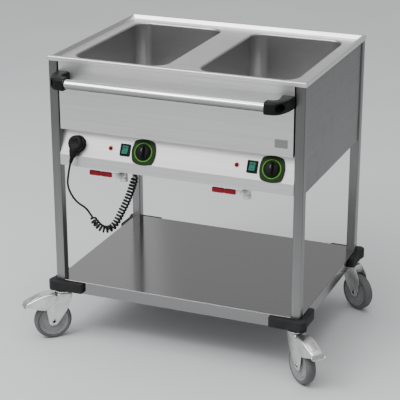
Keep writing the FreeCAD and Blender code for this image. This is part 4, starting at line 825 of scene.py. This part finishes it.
# The knob: a fluted skirt, a domed cap and a grip across it with a pale pointer line.
# The grip's rows hold half width, half length and height.
def makeKnob(name, side):
    facts = {
        "cap": [(0, 5.4), (22, 5.4), (22.4, 5.9), (22.4, 8.4), (21.6, 9.2), (20.2, 9.5), (19.6, 11.8),
            (17.6, 13), (12.2, 13.8), (0, 14)],
        "grip": [(6.3, 19.6, 9.9), (6.2, 19.8, 13.4), (6.1, 19.2, 18.4), (6, 17.6, 21.3), (5.4, 15.2, 23.4),
            (4.2, 11.8, 24.3)],
        "line": ((-0.75, 1.5, 22.3), (0.75, 11.3, 24.35)), "stem": [(0, -6), (3.9, -6), (3.9, 6.4)],
        "flutes": {"Count": 48, "Radius": 22.25, "Rib Size": (0.9, 1.3, 2.6)}, "fluteHeight": 7.3}
    place, body = facePlace("dial", side), "knob_" + name
    shape = bmesh.new()
    lathe(shape, facts["cap"], place, 72)
    joinRings(shape, [lifted(roundedBox(wide, reach, min(wide, 5.4) * 0.95, 6), height)
                      for wide, reach, height in facts["grip"]], place)
    box(shape, *facts["line"], place, 0.2, 1)
    lathe(shape, facts["stem"], place, 24)
    finishShape(shape, "knob_" + name, ["black", "mark"], body, ["knob_" + name])
    growPiece("knobFlutes_" + name, ribTree, facts["flutes"], "black", body,
              place @ moved(z=facts["fluteHeight"]))


# The bezel round a rocker, with a sloping inner lip and the case behind the face.
# The rings' rows hold width, length, corner and height.
def makeSwitchFrame(name, side):
    facts = {
        "rings": [(34, 39, 3, 0), (34, 39, 3, 2.6), (33.2, 38.2, 2.8, 3.6), (31.6, 36.6, 2.4, 4),
            (24.6, 32.4, 1.6, 4), (23.4, 31.2, 1.2, 3.5), (21.2, 29, 0.8, 2.4), (21.2, 29, 0.8, -12),
            (23.6, 31.4, 0.8, -12), (23.6, 31.4, 0.8, 0)]}
    shape = bmesh.new()
    joinRings(shape, [lifted(roundedBox(wide / 2, tall / 2, corner), height)
                      for wide, tall, corner, height in facts["rings"]], facePlace("rocker", side), True)
    finishShape(shape, "switchFrame_" + name, ["black"], "frame", ["switch_frame_" + name])


# The green rocker: a slanted face, higher at its ends, with a raised bar and ring and two pivots.
def makeRocker(name, side):
    facts = {
        "half": 10, "long": 13.1, "rise": 4.9, "dip": 3.3, "deep": -5, "tilt": -10, "bevel": 0.7,
        "pivot": [(2, -0.7), (2, 0.7)], "pivotShift": 10.6, "bar": ((-0.8, 4.4, 3.3), (0.8, 9.4, 4.65)),
        "ring": [(1.7, -0.8), (1.7, 0.55), (2.1, 0.7), (2.5, 0.55), (2.5, -0.8)], "ringPlace": (0, -7, 3.85)}
    place = facePlace("rocker", side) @ turned(facts["tilt"], "X")
    half, length, bevel, last = facts["half"], facts["long"], facts["bevel"], 12
    rings = []
    for step in range(last + 1):
        y = -length + 2 * length * step / last
        share = abs(y) / length
        top = facts["dip"] + (facts["rise"] - facts["dip"]) * share ** 1.3 - (0.5 if step in (0, last) else 0)
        low = facts["deep"] + 1.2 * share
        rings.append([(-half, y, low), (half, y, low), (half, y, top - bevel), (half - bevel, y, top),
                      (-half + bevel, y, top), (-half, y, top - bevel)])
    shape = bmesh.new()
    joinRings(shape, rings, place)
    for end in (-1, 1):
        lathe(shape, facts["pivot"], place @ moved(facts["pivotShift"] * end) @ turned(90, "Y"), 16)
    box(shape, *facts["bar"], place, 0.3, 1)
    lathe(shape, facts["ring"], place @ moved(*facts["ringPlace"]), 24, 1, True)
    finishShape(shape, "rocker_" + name, ["green", "black"], "rocker_" + name, ["rocker_" + name])


# Both pilot lamps: a pale collar with the case behind it, and a faceted red lens.
def makeLamps():
    facts = {
        "collar": [(0, -17.8), (0, -1), (5.8, -1), (5.8, 1.5), (6.6, 2), (7.2, 1.8), (7.8, 1), (7.8, 0),
            (6, 0), (6, -17.8)],
        "lens": [(5.5, -0.5), (5.5, 2.4), (5, 3.8), (3.9, 5.2), (2.3, 6), (0, 6.3)]}
    shape = bmesh.new()
    for side in sides.values():
        lathe(shape, facts["collar"], facePlace("lamp", side), 36, 1)
        lathe(shape, facts["lens"], facePlace("lamp", side), 12)
    finishShape(shape, "pilotLamps", ["lens", "collar"], "frame", ["pilot_lamps"], 20)


# A drain valve: a screwed body with a turned outlet below, its nut, the pipe up to the well, and the
# boss that the lever sits on.
def makeValve(name, side):
    facts = {
        "depth": -222, "level": 572,
        "body": [(7.5, 549), (7.5, 543.6), (8.2, 543), (11.7, 543), (12.6, 543.8), (12.9, 545), (12.9, 555),
            (11.5, 556), (11.5, 558), (12.9, 559.5), (12.9, 585), (11.4, 586.5), (11.4, 596), (0, 596)],
        "nut": (15.2, 1.5, 596, 605, 0.8),
        "pipe": [(9.5, 604), (9.5, 733), (13.5, 733.4), (13.5, 736.4), (0, 736.4)],
        "boss": [(8, 5), (8, 28), (7.4, 29), (7.4, 31), (8, 32), (8, 32.6), (7.6, 33.1), (0, 33.1)]}
    place = moved(side * wellPitch / 2, facts["depth"])
    shape = bmesh.new()
    lathe(shape, facts["body"], place, 56)
    hexNut(shape, *facts["nut"], place)
    lathe(shape, facts["pipe"], place, 40)
    lathe(shape, facts["boss"], place @ moved(z=facts["level"]) @ turned(90, "X"), 40)
    finishShape(shape, "drainValve_" + name, ["nickel"], "frame", ["drain_valve_" + name])


# The lever strip on its hub, and the red sleeve in two pads along it.
def makeLever(name, side):
    facts = {
        "place": (-254.2, 572),
        "hub": [(0, -4), (4, -4), (4, 0), (8.5, 0), (9, 0.6), (9, 7.2), (8.2, 8), (0, 8)],
        "nut": (6.6, 0.6, 8, 11.2, 0.6), "stud": [(3, 11), (3, 12), (2.2, 12.6), (0, 12.7)],
        "strip": [(-100, -7), (-20, -7), (-8, -9), (0, -9), (0, 9), (-8, 9), (-20, 7), (-100, 7)],
        "stripCorners": [3, 4, 4, 8, 8, 4, 4, 3], "stripHeights": (2.9, 5.9),
        "pads": [(-102, -8, -63, 8), (-61, -7.8, -24, 7.8)], "padHeights": (0.1, 8.9),
        "joint": ((-64, -6.6, 1.2), (-60, 6.6, 7.8))}
    place = moved(side * wellPitch / 2, *facts["place"]) @ turned(90, "X")
    shape = bmesh.new()
    lathe(shape, facts["hub"], place, 40)
    hexNut(shape, *facts["nut"], place)
    lathe(shape, facts["stud"], place, 20)
    plate(shape, roundedOutline(facts["strip"], facts["stripCorners"], 4), *facts["stripHeights"], place, 0.4)
    finishShape(shape, "valveLever_" + name, ["nickel"], "lever_" + name, ["valve_lever_" + name])
    shape = bmesh.new()
    for pad in facts["pads"]:
        plate(shape, roundedOutline(rectangle(*pad), 3.2), *facts["padHeights"], place, 2.4, 0, 4)
    box(shape, *facts["joint"], place, 0.5)
    finishShape(shape, "leverGrip_" + name, ["grip"], "lever_" + name, ["lever_grip_" + name])


# A rubber corner round the shelf: two arms that thin towards their ends and a round nose.
def makeBumpers():
    facts = {
        "arm": [(-98, 0.2), (-98, 12.6), (-94, 16.6), (-88, 17.6), (-20, 17.6), (-8, 21.6)], "nose": 25.6,
        "noseTurns": (72, 60, 48), "heights": (172, 205), "corner": (417.5, 310), "edge": 2.2}
    turns = [math.radians(turn) for turn in facts["noseTurns"]]
    half = facts["arm"] + [(facts["nose"] * math.cos(turn), facts["nose"] * math.sin(turn)) for turn in turns]
    outline = half + [(y, x) for x, y in half[::-1]] + [(0.2, 0.2)]
    shape = bmesh.new()
    for side, depth, _ in casters.values():
        placed = [(side * (facts["corner"][0] + x), depth * (facts["corner"][1] + y)) for x, y in outline]
        plate(shape, placed, *facts["heights"], Matrix(), facts["edge"], 0, 4)
    finishShape(shape, "cornerBumpers", ["bumper"], "frame", ["corner_bumpers"], 40)


# The closed outline of a channel seen from its end: an arch of one sheet, out and back.
def channelRing(half, low, top, wall, corner):
    points = []
    for size, height, radius in ((half, top, corner), (half - wall, top - wall, corner - wall)):
        radius = min(max(0.6, radius), size * 0.98, max(0.5, (height - low) * 0.9))
        arch = [(-size, low)]
        for middle, start in ((-size + radius, math.pi), (size - radius, math.pi / 2)):
            for step in range(6):
                turn = start - math.pi / 2 * step / 5
                arch.append((middle + radius * math.cos(turn), height - radius + radius * math.sin(turn)))
        arch.append((size, low))
        points += arch[::-1] if points else arch
    return points


# The fork: two shaped side plates under a pressed crown, and its axle. The front ones carry the pedal's pins.
# The crown's rows hold the place along it, half its width and its top.
def makeFork(corner):
    facts = {
        "gap": 17.5, "sheet": 2.5, "foot": 140,
        "arch": [(-25, 15, 151), (-22, 19, 155), (-14, 20, 158.4), (0, 20, 159.5), (16, 20, 159.3)],
        "front": [(23, 19.6, 158), (25.6, 18.5, 154), (26.4, 17.5, 150)],
        "rear": [(30, 20, 157), (38, 19.4, 153), (41, 17, 148)],
        "plate": [(-24, 152), (-22, 141), (-17, 125), (-11, 109), (-2, 93), (10, 77), (24, 58), (30, 51),
            (36, 48.6), (50, 48.6), (56, 55), (64, 106), (55.5, 130), (40, 150)],
        "plateCorners": [4, 10, 20, 20, 20, 20, 20, 8, 8, 8, 8, 30, 14, 6],
        "race": [(14, 158), (26.5, 158.6), (26.8, 159), (26.4, 159.5), (14, 159.6)], "pinPlace": (34, 0, 145),
        "pin": [(3.2, 15), (3.2, 23.5), (2.4, 24.3), (0, 24.4)], "axle": (40, 20, 62.5),
        "hollow": [(0, -0.4), (5.3, -0.4), (5.3, 0.8), (0, 0.8)],
        "head": [(5.2, 0), (7.8, 0), (7.8, 1.6), (7, 2.4), (5.6, 2.4), (5.2, 2)]}
    place, body, atFront = casterPlace(corner), "swivel_" + corner, corner.startswith("front")
    gap, sheet = facts["gap"], facts["sheet"]
    outline = roundedOutline(facts["plate"], facts["plateCorners"], 4)
    shape = bmesh.new()
    for low in (gap, -gap - sheet):
        plate(shape, outline, low, low + sheet, place @ turned(90, "X"), 0.7)
    crown = smoothLine(facts["arch"] + facts["front" if atFront else "rear"], 3)
    joinRings(shape, [[(along, n, z) for n, z in channelRing(half, facts["foot"], top, sheet, 6)]
                      for along, half, top in crown], place)
    lathe(shape, facts["race"], place, 48)
    for end in (-1, 1) if atFront else ():
        lathe(shape, facts["pin"], place @ moved(*facts["pinPlace"]) @ turned(90 * end, "X"), 20)
    finishShape(shape, "casterFork_" + corner, ["zinc"], body, ["caster_fork_" + corner])
    shape = bmesh.new()
    along, out, up = facts["axle"]
    for end in (-1, 1):
        tip = place @ moved(along, -out * end, up) @ turned(90 * end, "X")
        lathe(shape, facts["head"], tip, 32, 0, True)
        # A black disc in the head's hollow: painted shade.
        lathe(shape, facts["hollow"], tip, 24, 1)
    finishShape(shape, "casterAxle_" + corner, ["zinc", "black"], body, ["caster_axle_" + corner])


# The brake pedal: a pressed channel that arches over the fork and ends in a dished oval with a rolled rim.
# The line's rows hold the place along it, low, top and half the width.
def makePedal(corner):
    facts = {
        "wall": 2.2,
        "line": [(28.5, 136, 154.5, 22.6), (33, 133, 158.2, 22.6), (40, 130, 159.6, 22.6),
            (52, 119, 159.4, 22.6), (66, 107, 158.2, 22.6), (80, 108.5, 155, 22.6), (92, 112, 150.6, 22.4),
            (104, 117, 146, 22), (114, 120.5, 142.4, 21.6), (121, 123, 139.6, 21.2),
            (126, 124.6, 137.2, 20.6), (129, 126, 135, 19.6)],
        "pad": (18, 13, 4), "padHeights": (-1.4, 0.9), "padPlace": (97, 0, 149),
        "padSlope": math.degrees(math.atan2(9.4, 22)), "ribs": 7, "ribStart": -15.6, "ribPitch": 4.9,
        "rib": (1.8, 10.5, 0.4, 2), "lip": (23.2, 7.4), "lipPlace": (131.9, 0, 127.4), "lipLean": -35,
        "rim": 1.7, "dish": (-1.2, -0.2), "bossPlace": (65.4, 0, 131.8),
        "boss": [(0, 22), (4.4, 22), (4.4, 22.5), (3.6, 22.9), (0, 22.9)]}
    place = casterPlace(corner)
    shape = bmesh.new()
    rings = []
    for along, low, top, half in smoothLine(facts["line"], 3):
        wall = min(facts["wall"], (top - low) * 0.45)
        rings.append([(along, n, z) for n, z in channelRing(half, low, top, wall, 5)])
    joinRings(shape, rings, place)
    pad = place @ moved(*facts["padPlace"]) @ turned(facts["padSlope"], "Y")
    plate(shape, roundedBox(*facts["pad"]), *facts["padHeights"], pad, 0.6, 0, 3)
    wide, half, low, high = facts["rib"]
    for spot in range(facts["ribs"]):
        start = facts["ribStart"] + spot * facts["ribPitch"]
        box(shape, (start, -half, low), (start + wide, half, high), pad, 0.7)
    lip = place @ moved(*facts["lipPlace"]) @ turned(facts["lipLean"], "Y")
    across, tall = facts["lip"]
    oval = [(0, n, z) for n, z in roundedBox(across, tall, tall * 0.96, 8)]
    rim = [lip @ Vector(point) for point in oval]
    rings = []
    for spot, point in enumerate(rim):
        ahead = (rim[(spot + 1) % len(rim)] - rim[spot - 1]).normalized()
        out = (point - lip.translation).normalized()
        out = (out - ahead * out.dot(ahead)).normalized()
        rings.append(ringRound(point, out, ahead.cross(out), 12, facts["rim"]))
    joinRings(shape, rings, closed=True)
    joinRings(shape, [[(lift, n * 0.97, z * 0.97) for _, n, z in oval] for lift in facts["dish"]], lip)
    for end in (-1, 1):
        lathe(shape, facts["boss"], place @ moved(*facts["bossPlace"]) @ turned(90 * end, "X"), 24)
    finishShape(shape, "casterPedal_" + corner, ["zinc"], "pedal_" + corner, ["caster_pedal_" + corner])


# The wheel: a rounded grey tread on a paler face with two rings and a raised hub.
def makeWheel(corner):
    facts = {
        "axle": (40, 62.5),
        "face": [(6.3, 16.6), (12.4, 16.6), (13.4, 15.8), (14.2, 11.6), (17, 10.2), (33, 9.6), (37, 11),
            (38.4, 12.2), (39.8, 11.2), (45.5, 13.2), (47.4, 14.6), (48.6, 14.8), (49.4, 13.4), (49.4, 0),
            (6.3, 0)],
        "tread": [(49.6, 13.2), (50.4, 14.6), (53.5, 15.7), (56, 15.4), (59.4, 13), (61.6, 9), (62.4, 4)]}
    place = casterPlace(corner, *facts["axle"]) @ turned(90, "X")
    shape = bmesh.new()
    for end in (1, -1):
        lathe(shape, [(radius, end * height) for radius, height in facts["face"]], place, 72, 0, True)
    back = [(radius, -height) for radius, height in facts["tread"][::-1]]
    lathe(shape, facts["tread"] + back + [(49.6, 0)], place, 88, 1, True)
    finishShape(shape, "casterWheel_" + corner, ["wheelFace", "tread"], "wheel_" + corner,
                ["caster_wheel_" + corner], 26)


# The four heads: a flanged plate under the leg, its ball race, the kingpin and the plug up the leg.
def makeHeads():
    facts = {
        "head": [(0, 136), (8.8, 136), (8.8, 141), (9, 160), (20.4, 160.1), (22, 161), (22, 162), (21, 162.8),
            (29.8, 163), (30.6, 163.8), (30.6, 166.2), (29.8, 166.9), (10, 166.9), (10, 196), (0, 196)],
        "balls": {"Count": 26, "Radius": 22.6, "Ball Radius": 2.1}, "ballHeight": 161.4}
    shape = bmesh.new()
    for name in casters:
        lathe(shape, facts["head"], casterPlace(name), 56)
        growPiece("casterBalls_" + name, ballTree, facts["balls"], "zinc", "frame",
                  casterPlace(name, 0, facts["ballHeight"]))
    finishShape(shape, "casterHeads", ["zinc"], "frame", ["caster_heads"])


placeCamera()
addLights()
buildWorld()
buildStage()
print("stage ready")
dressFrame()
print("carried-over pieces dressed")
makeParkSocket()
makeCord(makePlug(), makeGland())
print("cord and plug ready")
for name, side in sides.items():
    for make in (makeBracket, makeDial, makeKnob, makeSwitchFrame, makeRocker, makeValve, makeLever):
        make(name, side)
makeLamps()
print("controls, brackets and valves ready")
makeBumpers()
makeHeads()
for corner in casters:
    makeFork(corner)
    makeWheel(corner)
    if corner.startswith("front"):
        makePedal(corner)
print("casters and bumpers ready")
